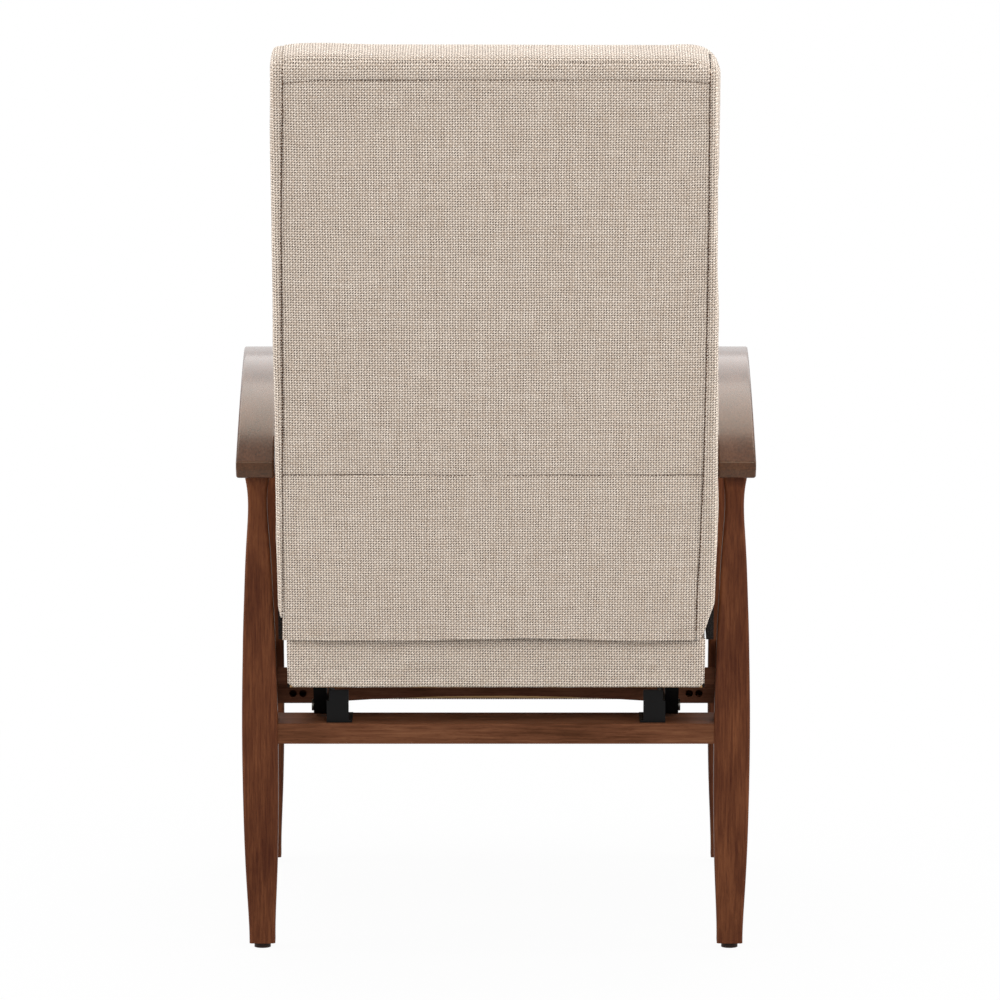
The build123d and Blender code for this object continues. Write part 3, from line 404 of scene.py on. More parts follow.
def mesh_piece(name, verts, faces, material, body, replaced=()):
    """A finished piece from points and faces, riding on a body."""
    piece = raw_piece(name, verts, [], faces)
    mesh = piece.data
    work = bmesh.new()
    work.from_mesh(mesh)
    bmesh.ops.remove_doubles(work, verts=work.verts, dist=1e-6)
    bmesh.ops.recalc_face_normals(work, faces=work.faces)
    work.to_mesh(mesh)
    work.free()
    mesh.materials.append(material)
    mesh.shade_smooth()
    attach(piece, body)
    if replaced:
        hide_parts(*replaced)
    return piece


# Outside back: one panel of cloth pulled over the back frame, closed at each side by a seam, with
# a seam across under the top roll. The cover hangs a little askew: the seams aren't parallel.

hem_y, hem_z = rear_face_y + 0.010, 0.3695
seam_up = [0, 50, 129, 209, 282, 405, 527, 638, 725]
seam_left = [251.0, 250.0, 249.0, 248.6, 246.6, 246.4, 245.6, 242.8, 241.0]
seam_right = [234.8, 235.2, 238.3, 240.6, 241.8, 242.8, 243.2, 242.4, 242.0]
edge_left = [252.0, 255.6, 256.4, 256.2, 255.8, 256.4, 256.4, 256.6, 255.0]
edge_right = [239.5, 256.0, 258.4, 257.4, 257.2, 255.6, 252.8, 252.6, 252.0]
cloth_thick = 2.6 * MM
back_width = 0.487


def waver(x, y, z):
    """Smooth noise at a place, about -1 to 1."""
    return noise.noise(Vector((x, y, z)))


def on_back(x, deep, up):
    """A point of the back: across, forward of its rear plane and up along it, in metres."""
    return Vector((x, hem_y - deep * math.cos(lean) + up * math.sin(lean),
                   hem_z + deep * math.sin(lean) + up * math.cos(lean)))


def along_side(table, up):
    """A half width of the cover, in metres, at a height on the back."""
    rise = up / MM
    for index in range(len(seam_up) - 1):
        if rise <= seam_up[index + 1] or index == len(seam_up) - 2:
            share = max(0.0, (rise - seam_up[index]) / (seam_up[index + 1] - seam_up[index]))
            share = min(1.0, share)
            return (table[index] + (table[index + 1] - table[index]) * share) * MM
    return table[-1] * MM


def seam_x(s, up, inside=0.1 * MM):
    """Across the panel from the seam on the viewer's right, which is at -X, to the other one."""
    low = -(along_side(seam_right, up) - inside)
    high = along_side(seam_left, up) - inside
    return low + (high - low) * s


def closed_sheet(columns, rows, point, thick):
    """A grid whose two faces lie a thickness apart, closed round its edge."""
    verts, faces = [], []
    for layer in range(2):
        for row in range(rows + 1):
            for column in range(columns + 1):
                verts.append(point(column / columns, row / rows, thick * layer))
    step = columns + 1
    block = (rows + 1) * step
    for row in range(rows):
        for column in range(columns):
            a = row * step + column
            quad = (a, a + 1, a + 1 + step, a + step)
            faces.append(quad)
            faces.append(tuple(block + i for i in reversed(quad)))
    rim = [column for column in range(step)]
    rim += [row * step + columns for row in range(1, rows + 1)]
    rim += [rows * step + column for column in range(columns - 1, -1, -1)]
    rim += [row * step for row in range(rows - 1, 0, -1)]
    for index, a in enumerate(rim):
        b = rim[(index + 1) % len(rim)]
        faces.append((b, a, a + block, b + block))
    return verts, faces


def spread(count, width, fine):
    """Shares across a sheet, closer together within a fine border at both edges."""
    shares = [0, 0.25 * fine / width, 0.5 * fine / width, 0.75 * fine / width]
    inner = [fine / width + (1 - 2 * fine / width) * index / (count - 1) for index in range(count)]
    return shares + inner + [1 - share for share in reversed(shares)]


def gathered(amount, at, reach):
    """A soft bump of a height at a place."""
    return amount * math.exp(-(at / reach) ** 2)


def sheet_from(name, across, upward, point, replaced):
    """A two-faced sheet on uneven shares both ways, dressed in the back cloth."""
    verts, faces = closed_sheet(len(across) - 1, len(upward) - 1, lambda s, t, depth: point(
        across[round(s * (len(across) - 1))], upward[round(t * (len(upward) - 1))], depth), cloth_thick)
    piece = mesh_piece(name, verts, faces, back_cloth, "back", replaced)


panel_low, panel_high = 215.7 * MM, 699.5 * MM
panel_rise = panel_high - panel_low
seam_reach = 2.0 * MM


def panel_point(s, t, depth):
    up = panel_low + t * panel_rise
    x = seam_x(s, up)
    edge = min(s, 1 - s) * back_width
    ends = min(t, 1 - t) * panel_rise
    puff = 2.6 * MM * (1 - math.exp(-edge / (22 * MM))) * (1 - 0.6 * math.exp(-ends / (18 * MM)))
    wave = 1.3 * MM * waver(x * 7, up * 4, 1.7) + 0.5 * MM * waver(x * 19, up * 15, 8.7)
    pull = 0.7 * MM * math.sin(up * 190 + 2 * math.sin(up * 31)) * math.exp(-edge / (16 * MM))
    deep = -1.0 * MM - puff + wave * (1 - math.exp(-edge / (9 * MM))) + pull * 0.6
    deep += 1.3 * MM * max(0.0, 1 - edge / seam_reach) ** 1.5 + 1.1 * MM * max(0.0, 1 - ends / seam_reach) ** 1.5
    up += gathered(1.4 * MM, 1 - t, 0.01) * waver(x * 9, 0.6, 0.4)
    return on_back(x, deep + depth, up)


across = spread(84, back_width, 5 * MM)
sheet_from("outside_back_panel", across, spread(84, panel_rise, 4 * MM), panel_point,
           ("back_panel",))


# Lower flap: a second width of cloth sewn under the panel's lower edge. Its hem is turned up,
# hangs free over the seat's rear border and gapes a little in the middle.

flap_high = 215.6 * MM
gape_middle, gape_half = -28 * MM, 118 * MM


def flap_point(s, t, depth):
    up = flap_high * t
    x = seam_x(s, up)
    edge = min(s, 1 - s) * back_width
    free = (1 - t) ** 4
    gape = max(0.0, 1 - ((x - gape_middle) / gape_half) ** 2)
    lift = 5.4 * MM + 4.4 * MM * gape - 1.0 * MM * (1 - gape) * (0.5 + 0.5 * math.cos(x * 11))
    up += free * (lift + 1.0 * MM * waver(x * 14, 0.3, 2.0))
    wave = 1.5 * MM * waver(x * 8, up * 7, 5.2) + 0.6 * MM * waver(x * 21, up * 13, 2.2)
    deep = -1.0 * MM - 1.6 * MM * (1 - math.exp(-edge / (20 * MM))) + wave * (1 - math.exp(-edge / (12 * MM)))
    deep -= 3.2 * MM * gape * free
    deep += 1.3 * MM * max(0.0, 1 - edge / seam_reach) ** 1.5 * min(1.0, 4 * t)
    deep += 1.1 * MM * max(0.0, 1 - (flap_high * (1 - t)) / seam_reach) ** 1.5
    deep += gathered(0.7 * MM, up - 17 * MM, 1.5 * MM)
    return on_back(x, deep + depth, up)


flap_rows = [0, 0.004, 0.01] + [0.02 + 0.96 * index / 66 for index in range(67)] + [0.988, 0.994, 1.0]
sheet_from("outside_back_flap", across, flap_rows, flap_point,
           ("back_flap",))


# Side boxing: a strip of cloth over a foam edge, from the outside back's seam round to the front.
# It fills out between the bolsters' seams and is rounded over at the top corner.

def tube_faces(rings, count):
    """The faces of a tube of rings of points, closed at both ends."""
    faces = []
    for start in range(0, (rings - 1) * count, count):
        for index in range(count):
            a, b = start + index, start + (index + 1) % count
            faces.append((a, b, b + count, a + count))
    faces.append(tuple(range(count)))
    faces.append(tuple(reversed(range((rings - 1) * count, rings * count))))
    return faces


def ribbon_tube(path_points, section, name, material, body, replaced=()):
    """A closed band: one cross section carried along a list of frames."""
    verts = [frame_at(a, b) for frame_at in path_points for a, b in section]
    return mesh_piece(name, verts, tube_faces(len(path_points), len(section)), material, body, replaced)


def rounded_section(low_a, high_a, low_b, high_b, radii, steps=5, parts=1):
    """A rectangle with its four corners rounded, as points in order, with parts on each long side.
    radii are for the corners (high, high), (low, high), (low, low) and (high, low)."""
    points = []
    r = radii if isinstance(radii, (list, tuple)) else (radii,) * 4
    corners = ((high_a - r[0], high_b - r[0], 0, r[0]), (low_a + r[1], high_b - r[1], 90, r[1]),
               (low_a + r[2], low_b + r[2], 180, r[2]), (high_a - r[3], low_b + r[3], 270, r[3]))
    for a, b, start, radius in corners:
        for step in range(steps + 1):
            angle = math.radians(start + 90 * step / steps)
            points.append((a + radius * math.cos(angle), b + radius * math.sin(angle)))
    if parts > 1:
        longer = []
        for index, point in enumerate(points):
            after = points[(index + 1) % len(points)]
            longer.append(point)
            if abs(after[1] - point[1]) > 8 * MM or abs(after[0] - point[0]) > 0.4:
                longer += [(point[0] + (after[0] - point[0]) * part / parts,
                            point[1] + (after[1] - point[1]) * part / parts) for part in range(1, parts)]
        points = longer
    return points


boxing_front = 57.0 * MM
corner_round = 18.0 * MM
side_shapes = ((1, "left", seam_left, edge_left, 35 * MM, 724 * MM),
               (-1, "right", seam_right, edge_right, 5 * MM, 714.5 * MM))


def boxing_outline(width):
    """The strip cut across: rear inner corner tight at the seam, the outer corners full."""
    return rounded_section(0, width, -1.6 * MM, boxing_front, (5 * MM, 2 * MM, 1.2 * MM, 6.5 * MM), 6, 10)


for sign, word, seam, edge, boxing_low, boxing_high in side_shapes:
    steps = 180
    verts = []
    for step in range(steps + 1):
        up = boxing_low + (boxing_high - boxing_low) * step / steps
        inner = along_side(seam, up) + 0.1 * MM
        outer = along_side(edge, up)
        outer += 1.0 * MM * waver(sign * 5.0, up * 11, 2.2)
        lift = max(0.0, up - (boxing_high - corner_round))
        over = corner_round - math.sqrt(max(0.0, corner_round ** 2 - lift ** 2))
        low = max(0.0, 1 - (up - boxing_low) / (10 * MM)) ** 2
        outer -= 0.35 * over + 2.5 * MM * low
        inner += 0.5 * MM * low
        front = (13 + 44 * max(0.0, min(1.0, (up / MM - 22) / 7))) * MM
        for a, b in boxing_outline(max(3.0 * MM, outer - inner)):
            share = (b + 1.6 * MM) / (boxing_front + 1.6 * MM)
            swell = 1.6 * MM * math.sin(math.pi * min(1.0, max(0.0, share))) * (a > 4 * MM)
            uneven = 0.25 * waver(sign * 2.0, up * 26, b * 30)
            swell *= (up - boxing_low > 20 * MM) * 0.55 + 0.45 * math.sin(up * 52 + sign) + uneven
            deep = -1.6 * MM + over + share * (front + 1.6 * MM - 1.6 * over)
            crumple = 0.5 * MM * waver(sign * 3.0, up * 60, a * 90)
            verts.append(on_back(sign * (inner + a + swell), deep + crumple, up))
    faces = tube_faces(steps + 1, len(verts) // (steps + 1))
    boxing = mesh_piece("side_boxing_" + word, verts, faces, back_cloth, "back", ("back_side_pad_" + word,))


# Top roll: the head of the back, a foam strip under cloth that comes over from the front and is
# sewn across the outside back two fingers below the top edge.

roll_bottom, roll_top, roll_deep, roll_round = 699.3 * MM, 725.0 * MM, 58.0 * MM, 17.0 * MM
roll_base = roll_top - 21.4 * MM


def roll_section():
    """The roll cut across, as (deep, up) points: a skin down to the seam, then a padded strip."""
    points = [(2.2 * MM, roll_bottom), (-1.0 * MM, roll_bottom + 0.1 * MM), (-2.1 * MM, roll_bottom + 1.2 * MM),
              (-2.8 * MM, roll_bottom + 3 * MM), (-3.1 * MM, roll_bottom + 5 * MM),
              (-3.1 * MM, roll_top - roll_round - 1 * MM)]
    centre = (roll_round - 3.0 * MM, roll_top - roll_round)
    for step in range(1, 9):
        angle = math.radians(180 - 90 * step / 8)
        points.append((centre[0] + roll_round * math.cos(angle), centre[1] + roll_round * math.sin(angle)))
    points += [(22 * MM, roll_top + 0.5 * MM), (34 * MM, roll_top + 0.4 * MM)]
    centre = (roll_deep - 12 * MM, roll_top - 12 * MM)
    for step in range(0, 7):
        angle = math.radians(90 - 90 * step / 6)
        points.append((centre[0] + 12 * MM * math.cos(angle), centre[1] + 12 * MM * math.sin(angle)))
    points += [(roll_deep, roll_base + 7 * MM), (roll_deep - 2 * MM, roll_base + 0.4 * MM),
               (30 * MM, roll_base), (8 * MM, roll_base), (2.8 * MM, roll_base - 1.6 * MM)]
    return points


def roll_point(share, deep, up):
    x = seam_x(share, up)
    edge = min(share, 1 - share) * back_width
    high = max(0.0, (up - (roll_top - 22 * MM)) / (22 * MM))
    rise = 0.7 * MM * waver(x * 5, 0.7, 3.3) - 1.8 * MM * math.exp(-edge / (12 * MM))
    rise += gathered(2.2 * MM, x - 205 * MM, 48 * MM) - 8.0 * MM * math.exp(-(x + 243 * MM) / (17 * MM))
    seam_dip = gathered(-3.4 * MM, edge, 26 * MM) if up < 704 * MM else 0.0
    tuck = 1.3 * MM * max(0.0, 1 - edge / seam_reach) ** 1.5 * (1 if deep < 8 * MM else 0)
    wave = 0.7 * MM * waver(x * 13, up * 30, 6.1)
    return on_back(x, deep + tuck + wave * (deep < 30 * MM), up + rise * high + seam_dip)


frames = [lambda a, b, share=share: roll_point(share, a, b) for share in spread(90, back_width, 8 * MM)]
top_roll = ribbon_tube(frames, roll_section(), "top_roll_cover", back_cloth, "back", ("back_top_roll",))


# Stitching: each cover seam is closed by lockstitch in thick brown thread, a stitch every 4.4 mm,
# which lies in the seam and shows as dark dashes.

thread_brown, tree, output = new_material("brown_bonded_thread")
place = add_node(tree, "ShaderNodeTexCoord")
ply = add_node(tree, "ShaderNodeTexWave", {"wave_type": "BANDS", "bands_direction": "DIAGONAL"},
               {"Vector": place.outputs["Object"], "Scale": 700.0, "Distortion": 1.5})
thread_tint = add_node(tree, "ShaderNodeMix", {"data_type": "RGBA"},
                       {0: ply.outputs["Fac"], 6: linear("#2b180d"), 7: linear("#5c3d26")})
thread_shader = add_node(tree, "ShaderNodeBsdfPrincipled", None,
                         {"Base Color": thread_tint.outputs[2], "Roughness": 0.75, "Specular IOR Level": 0.2})
tree.links.new(thread_shader.outputs[0], output.inputs["Surface"])


def stitch_tree():
    """Geometry Nodes: lays one slim stitch every pitch along the edges that come in."""
    tree = bpy.data.node_groups.new("row_of_stitches", "GeometryNodeTree")
    face = tree.interface
    face.new_socket("Geometry", in_out="INPUT", socket_type="NodeSocketGeometry")
    for label, value in (("Stitch pitch", 4.4 * MM), ("Stitch length", 3.1 * MM), ("Thread width", 1.5 * MM),
                         ("Wander", 0.3 * MM)):
        face.new_socket(label, in_out="INPUT", socket_type="NodeSocketFloat").default_value = value
    face.new_socket("Seed", in_out="INPUT", socket_type="NodeSocketInt").default_value = 7
    face.new_socket("Geometry", in_out="OUTPUT", socket_type="NodeSocketGeometry")
    given = add_node(tree, "NodeGroupInput")
    curve = add_node(tree, "GeometryNodeMeshToCurve", None, {"Mesh": given.outputs["Geometry"]})
    even = add_node(tree, "GeometryNodeResampleCurve", {"mode": "LENGTH"},
                    {"Curve": curve.outputs[0], "Length": given.outputs["Stitch pitch"]})
    tangent = add_node(tree, "GeometryNodeInputTangent")
    turn = add_node(tree, "FunctionNodeAlignRotationToVector", {"axis": "Z"}, {"Vector": tangent.outputs[0]})
    bead = add_node(tree, "GeometryNodeMeshUVSphere", None, {"Segments": 6, "Rings": 5, "Radius": 0.5})
    size = add_node(tree, "ShaderNodeCombineXYZ", None,
                    {0: given.outputs["Thread width"], 1: given.outputs["Thread width"],
                     2: given.outputs["Stitch length"]})
    slim = add_node(tree, "GeometryNodeTransform", None, {"Geometry": bead.outputs[0], "Scale": size.outputs[0]})
    rows = add_node(tree, "GeometryNodeInstanceOnPoints", None,
                    {"Points": even.outputs[0], "Instance": slim.outputs[0], "Rotation": turn.outputs[0]})
    less = figure(tree, "MULTIPLY", given.outputs["Wander"], -1.0)
    low = add_node(tree, "ShaderNodeCombineXYZ", None, {0: less, 1: 0.0, 2: less})
    high = add_node(tree, "ShaderNodeCombineXYZ", None,
                    {0: given.outputs["Wander"], 1: 0.0, 2: given.outputs["Wander"]})
    stray = add_node(tree, "FunctionNodeRandomValue", {"data_type": "FLOAT_VECTOR"},
                     {"Min": low.outputs[0], "Max": high.outputs[0], "Seed": given.outputs["Seed"]})
    moved = add_node(tree, "GeometryNodeTranslateInstances", None,
                     {"Instances": rows.outputs[0], "Translation": stray.outputs[0]})
    real = add_node(tree, "GeometryNodeRealizeInstances", None, {"Geometry": moved.outputs[0]})
    painted = add_node(tree, "GeometryNodeSetMaterial", None,
                       {"Geometry": real.outputs[0], "Material": thread_brown})
    add_node(tree, "NodeGroupOutput", None, {"Geometry": painted.outputs[0]})
    return tree


stitches = stitch_tree()


def sew(name, body, lines, **sizes):
    """One piece of all the stitches that run along some lines of points on a body."""
    verts, edges = [], []
    for line in lines:
        start = len(verts)
        verts += line
        edges += [(start + index, start + index + 1) for index in range(len(line) - 1)]
    piece = raw_piece(name, verts, edges, [])
    modifier = piece.modifiers.new("stitches", "NODES")
    modifier.node_group = stitches
    for item in stitches.interface.items_tree:
        if item.in_out == "INPUT" and item.name in sizes:
            modifier[item.identifier] = sizes[item.name]
    settle(piece).shade_smooth()
    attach(piece, body)


def seam_line(sign, table, low, high):
    points = []
    for step in range(200):
        up = (low + (high - low) * step / 199) * MM
        points.append(on_back(sign * (along_side(table, up) + 0.1 * MM), -2.5 * MM, up))
    return points


def cross_line(up_at, deep, left=0.004, right=0.996):
    points = []
    for step in range(160):
        share = left + (right - left) * step / 159
        points.append(on_back(seam_x(share, up_at), deep, up_at + 0.4 * MM * math.sin(share * 40)))
    return points


sew("outside_back_stitches", "back",
    [seam_line(1, seam_left, 215, 712), seam_line(-1, seam_right, 20, 706)])
top_line = []
for step in range(160):
    share = 0.002 + 0.996 * step / 159
    dip = gathered(-3.4 * MM, min(share, 1 - share) * back_width, 26 * MM)
    top_line.append(on_back(seam_x(share, 700 * MM), -2.2 * MM, 699.2 * MM + dip))
sew("outside_back_fine_stitches", "back",
    [seam_line(1, seam_left, 12, 214), cross_line(215.7 * MM, -1.7 * MM), top_line],
    **{"Thread width": 0.8 * MM, "Stitch length": 3.3 * MM, "Wander": 0.15 * MM})


# Rear lining of the bolsters: a quilted black web stretched over the jute straps; the bolsters
# are stapled through it.

def slab(name, low, high, place, material, body, replaced, waves=1.0 * MM, round_by=4 * MM):
    """A thin padded web with soft edges between two corners of its own frame."""
    section = rounded_section(low[1], high[1], low[2], high[2], min(round_by, 0.45 * (high[1] - low[1])), 4)
    steps = 60
    frames = [lambda a, b, x=low[0] + (high[0] - low[0]) * step / steps: place(
        x, a + waves * waver(x * 20, a * 30, b * 18), b) for step in range(steps + 1)]
    return ribbon_tube(frames, section, name, material, body, replaced)


back_web = slab("back_lining_web", (-246 * MM, 35.5 * MM, 46 * MM), (246 * MM, 56.5 * MM, 694 * MM),
                on_back, black_lining, "back", ("back_lining",), 0.6 * MM)

# Its two lower corners are folded down and stapled outside the seat box, one each side.
for sign, word in ((1, "left"), (-1, "right")):
    skirt = slab("corner_lining_" + word, (sign * 247.6 * MM, 16 * MM, -2 * MM),
                 (sign * 256.2 * MM, 46 * MM, 44 * MM), on_back, black_lining, "back", (), 0.6 * MM, 3 * MM)


# Seat, back and foot cushions: foam in a sewn cover of the same cloth. The cover draws the
# foam in along its seams, so each cushion crowns between them and pulls in between its corners.

def cushion_shell(width, length, depth, corner, crown, pull):
    """Points and faces of a closed cushion standing on w = 0: outline rings from the middle of
    the top, down the boxing and back to the middle of the underside."""
    outline = []
    around = 128
    straight_u, straight_v = width / 2 - corner, length / 2 - corner
    legs = [2 * straight_v, corner * math.pi / 2, 2 * straight_u, corner * math.pi / 2] * 2
    total = sum(legs)
    for index in range(around):
        run = total * index / around
        leg = 0
        while run > legs[leg]:
            run -= legs[leg]
            leg += 1
        share = run / legs[leg]
        quarter = leg // 2
        far = (straight_u, straight_v) if quarter % 2 == 0 else (straight_v, straight_u)
        if leg % 2 == 0:
            local = (far[0] + corner, -far[1] + run)
        else:
            angle = share * math.pi / 2
            local = (far[0] + corner * math.cos(angle), far[1] + corner * math.sin(angle))
        turn = quarter * math.pi / 2
        u = local[0] * math.cos(turn) - local[1] * math.sin(turn)
        v = local[0] * math.sin(turn) + local[1] * math.cos(turn)
        outline.append((u * (1 - pull * (1 - min(1.0, abs(2 * v / length)) ** 2) / width * 2),
                        v * (1 - pull * (1 - min(1.0, abs(2 * u / width)) ** 2) / length * 2)))
    verts = [(0, 0, depth + crown)]
    rings = [(r, depth + crown * (1 - r ** 2.2)) for r in (0.15, 0.3, 0.45, 0.6, 0.75, 0.86, 0.93)]
    rings += [(0.975, depth - 0.04 * depth), (0.995, depth * 0.86), (1.01, depth * 0.68), (1.016, depth * 0.5),
              (1.01, depth * 0.32), (0.995, depth * 0.14), (0.975, 0.03 * depth), (0.94, 0.0)]
    rings += [(r, 0.0) for r in (0.8, 0.6, 0.4, 0.2)]
    for share, w in rings:
        verts += [(u * share, v * share, w) for u, v in outline]
    verts.append((0, 0, 0))
    faces = [(0, 1 + index, 1 + (index + 1) % around) for index in range(around)]
    for ring in range(len(rings) - 1):
        start = 1 + ring * around
        for index in range(around):
            after = (index + 1) % around
            faces.append((start + index, start + around + index, start + around + after, start + after))
    last = 1 + (len(rings) - 1) * around
    end = len(verts) - 1
    faces += [(last + (index + 1) % around, last + index, end) for index in range(around)]
    return verts, faces


cover_settings = {"quality": 5, "mass": 0.3, "tension_stiffness": 25, "compression_stiffness": 25,
                  "shear_stiffness": 12, "bending_stiffness": 0.6, "use_pressure": True,
                  "uniform_pressure_force": 4.0}
swelling_frames = 20
sideways_share = 0.12


def stuffed(name, size, corner, crown, pull, place, body, material, replaced, cap, seed):
    """A cushion whose faces are swollen by a cloth simulation in its own frame, its boxing held
    out by the foam, and then put in its place on the chair."""
    width, length, depth = size
    verts, faces = cushion_shell(width * 0.985, length * 0.985, depth * 0.9, corner, crown * 0.7, pull)
    piece = raw_piece(name, verts, [], faces)
    bpy.context.view_layer.objects.active = piece
    remesh = piece.modifiers.new("remesh", "REMESH")
    remesh.mode = "VOXEL"
    remesh.voxel_size = 6.0 * MM
    before = [v.co.copy() for v in settle(piece).vertices]
    cloth = piece.modifiers.new("cloth", "CLOTH")
    for key, value in cover_settings.items():
        setattr(cloth.settings, key, value)
    cloth.settings.effector_weights.gravity = 0.0
    cloth.collision_settings.use_collision = False
    cloth.point_cache.frame_start = 1
    cloth.point_cache.frame_end = swelling_frames
    for number in range(1, swelling_frames + 1):
        bpy.context.scene.frame_set(number)
    settle(piece)
    bpy.context.scene.frame_set(1)
    mesh = piece.data
    half_u, half_v = width / 2, length / 2
    for vertex, start in zip(mesh.vertices, before):
        move = (vertex.co - start) * Vector((sideways_share, sideways_share, 1.0))
        if move.length > cap:
            move *= cap / move.length
        u, v, w = start + move
        u = max(-half_u, min(half_u, u))
        v = max(-half_v, min(half_v, v))
        w = max(0.0, w)
        vertex.co = (u, v, w)
    work = bmesh.new()
    work.from_mesh(mesh)
    for turn in range(4):
        bmesh.ops.smooth_vert(work, verts=work.verts, factor=0.5, use_axis_x=True, use_axis_y=True, use_axis_z=True)
    work.to_mesh(mesh)
    work.free()
    finer = piece.modifiers.new("finer", "SUBSURF")
    finer.levels = finer.render_levels = 1
    mesh = settle(piece)
    top = depth + crown
    for vertex in mesh.vertices:
        u, v, w = vertex.co
        high = max(0.0, min(1.0, (w - 0.35 * depth) / (0.4 * depth)))
        crease = waver(u * 9, v * 9, seed + 0.5) + 0.5 * waver(u * 22, v * 22, seed)
        w += 1.6 * MM * crease * high
        w = min(w, top)
        vertex.co = place(u, v, max(0.0, w))
    mesh.materials.clear()
    mesh.materials.append(material)
    mesh.shade_smooth()
    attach(piece, body)
    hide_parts(replaced)


seat_low, seat_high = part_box("seat_pad")
seat_middle = (seat_low + seat_high) / 2
seat_size = seat_high - seat_low


def on_seat(u, v, w):
    return Vector((u, seat_middle.y + v, seat_low.z + w))


stuffed("seat_cushion", (seat_size.x, seat_size.y, seat_size.z - 6 * MM), 40 * MM, 8 * MM, 1 * MM,
        on_seat, "seat", seat_cloth, "seat_pad", 14 * MM, seed=1)

bolster_rows = (("lumbar_bolster", 54.0, 315.2, 74.0, 5 * MM, 2), ("middle_bolster", 316.0, 521.4, 74.0, 5 * MM, 3),
                ("head_bolster", 522.3, 704.0, 86.0, 5 * MM, 4))
for node, low, high, thick, crown, seed in bolster_rows:
    middle = (low + high) / 2 * MM
    stuffed(node.replace("bolster", "cushion"), (518 * MM, (high - low) * MM, thick * MM - crown),
            26 * MM, crown, 1 * MM, lambda u, v, w, middle=middle: on_back(u, 59.4 * MM + w, middle + v),
            "back", back_cloth, node, 14 * MM, seed=seed)

foot_low, foot_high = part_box("footrest_pad")
foot_middle = (foot_low + foot_high) / 2
foot_size = foot_high - foot_low
board_wrap = 13 * MM
stuffed("footrest_cushion", (foot_size.x, foot_size.z, foot_size.y - 5 * MM + board_wrap), 18 * MM, 5 * MM, 1 * MM,
        lambda u, v, w: Vector((u, foot_high.y + board_wrap - w, foot_middle.z + v)), "footrest", seat_cloth,
        "footrest_pad", 12 * MM, seed=6)


# Cloths that finish what shows between the cushions: the deck cloth over the springs, the black
# apron over the back's lowest rail, and the band pulled round the edge of the footrest board.

def plain_cloth(name, columns, rows, point, thick, body, material):
    """A sheet that stands for no CAD cloth, dressed in its material."""
    verts, faces = closed_sheet(columns, rows, point, thick)
    piece = mesh_piece(name, verts, faces, material, body, ())


deck_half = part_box("seat_side_borders")[1].x - 3.5 * MM
deck_front, deck_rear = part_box("seat_front_border")[1].y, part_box("seat_rear_border")[0].y
deck_span = deck_rear - deck_front


def deck_point(s, t, depth):
    sag = 3 * MM * math.sin(math.pi * s) * math.sin(math.pi * t)
    return Vector(((2 * s - 1) * deck_half, deck_front + t * deck_span, seat_low.z + 0.4 * MM + depth - sag))


plain_cloth("deck_cloth", 32, 32, deck_point, 1.2 * MM, "seat", seat_cloth)

apron_low, apron_high, apron_half = 18 * MM, 74 * MM, 244 * MM
plain_cloth("lower_apron_lining", 32, 8, lambda s, t, depth: on_back(
    (1 - 2 * s) * apron_half, 59.6 * MM + depth, apron_low + t * (apron_high - apron_low)), 1.2 * MM, "back",
            black_lining)

board_low, board_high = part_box("footrest_board")
board_middle = (board_low + board_high) / 2
board_half = (board_high - board_low) / 2
rim = [(0.0, -1, 0, -1)]
for corner_x, corner_z in ((1, -1), (1, 1), (-1, 1), (-1, -1)):
    start = math.atan2(corner_z, corner_x) - math.pi / 4
    for step in range(7):
        angle = start + math.pi / 2 * step / 6
        rim.append((corner_x, corner_z, math.cos(angle), math.sin(angle)))
rim.append((0.0, -1, 0, -1))


def band_point(s, t, depth):
    side_x, side_z, out_x, out_z = rim[round(s * (len(rim) - 1))]
    reach = 0.3 * MM + depth
    return Vector((board_middle.x + side_x * board_half.x + out_x * reach,
                   board_high.y + 0.6 * MM - t * 2 * board_half.y,
                   board_middle.z + side_z * board_half.z + out_z * reach))


plain_cloth("footrest_edge_band", len(rim) - 1, 4, band_point, 1.4 * MM, "footrest",
            seat_cloth)


# Seat borders: the seat cover's own cloth pulled down over the box and stapled under it, in
# black web below the cloth at the sides, where nothing shows.

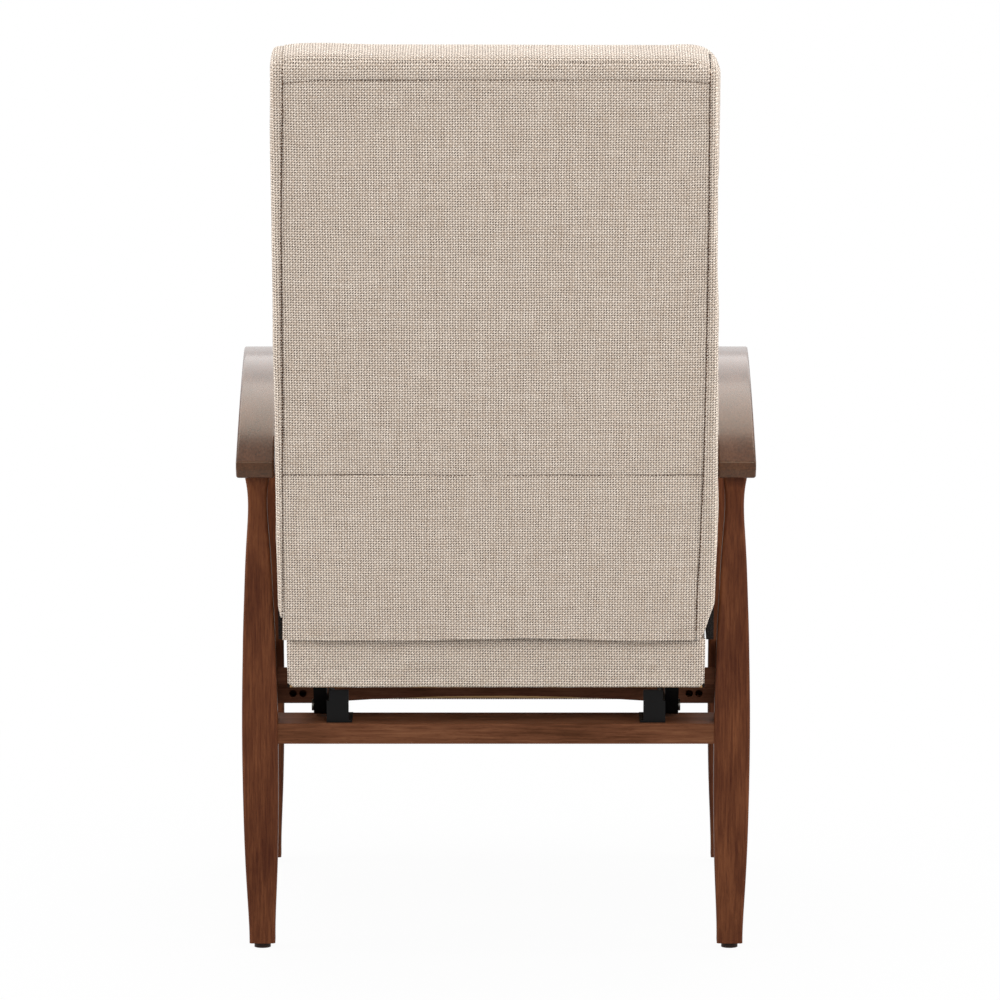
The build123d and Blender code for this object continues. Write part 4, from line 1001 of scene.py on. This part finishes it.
def flat_cloth(name, node, wave, corner, seed, crest, swell=0.0, hem=0.0):
    """A sheet that fills one upright CAD cloth: crest is its rise at the top, swell how far it
    leans out there and hem how far its lower edge is turned up."""
    low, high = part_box(node)
    span, rise = high.x - low.x, high.z - low.z

    def point(s, t, depth):
        x = low.x + s * span
        z = low.z + t * rise
        reach = min(s, 1 - s) * span
        if reach < corner:
            lift = corner - math.sqrt(max(0.0, corner ** 2 - (corner - reach) ** 2))
            z += lift * (1 - t) ** 2
        ripple = waver(x * 14, z * 30, seed)
        z += 0.8 * MM * waver(x * 40, seed, 0.2) * (1 - t) ** 3
        share = depth / cloth_thick
        y = low.y + (high.y - low.y) * (0.5 + (share - 0.5) * 0.86) + wave * ripple
        z += crest * t + hem * (1 - t)
        x *= 1 - 2.8 * hem * (1 - t)
        lifted = min(1.0, 1.25 * t)
        y += swell * lifted ** 2 * (3 - 2 * lifted)
        return Vector((x, y, z))

    verts, faces = closed_sheet(72, 16, point, cloth_thick)
    piece = mesh_piece(name, verts, faces, seat_cloth, "seat", (node,))


flat_cloth("rear_border_cover", "seat_rear_border", 0.7 * MM, 5 * MM, 11, 5.5 * MM, 8.5 * MM, 0.8 * MM)
flat_cloth("front_border_cover", "seat_front_border", 0.7 * MM, 2 * MM, 12, 6 * MM)


def side_pair(name, node, material, seed, lift=0.0):
    """The two side cloths of one node, as one piece; lift is how much taller they stand."""
    low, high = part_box(node)
    thick = 3.0 * MM
    span, rise = high.y - low.y, high.z - low.z
    verts, faces = [], []
    for sign in (-1, 1):
        def point(s, t, depth, sign=sign):
            y = low.y + s * span
            z = low.z + t * (rise + lift)
            x = high.x - thick + depth / cloth_thick * thick * 0.86
            x += 0.5 * MM * waver(y * 14, z * 30, seed + sign)
            z += 0.8 * MM * waver(y * 40, seed, sign) * (1 - t) ** 3
            return Vector((sign * x, y, z))
        some, quads = closed_sheet(72, 14, point, cloth_thick)
        faces += [tuple(len(verts) + i for i in quad) for quad in quads]
        verts += some
    piece = mesh_piece(name, verts, faces, material, "seat", (node,))


side_pair("side_border_cover", "seat_side_borders", seat_cloth, 21, 6 * MM)
side_pair("side_lining_web", "seat_side_linings", black_lining, 22)
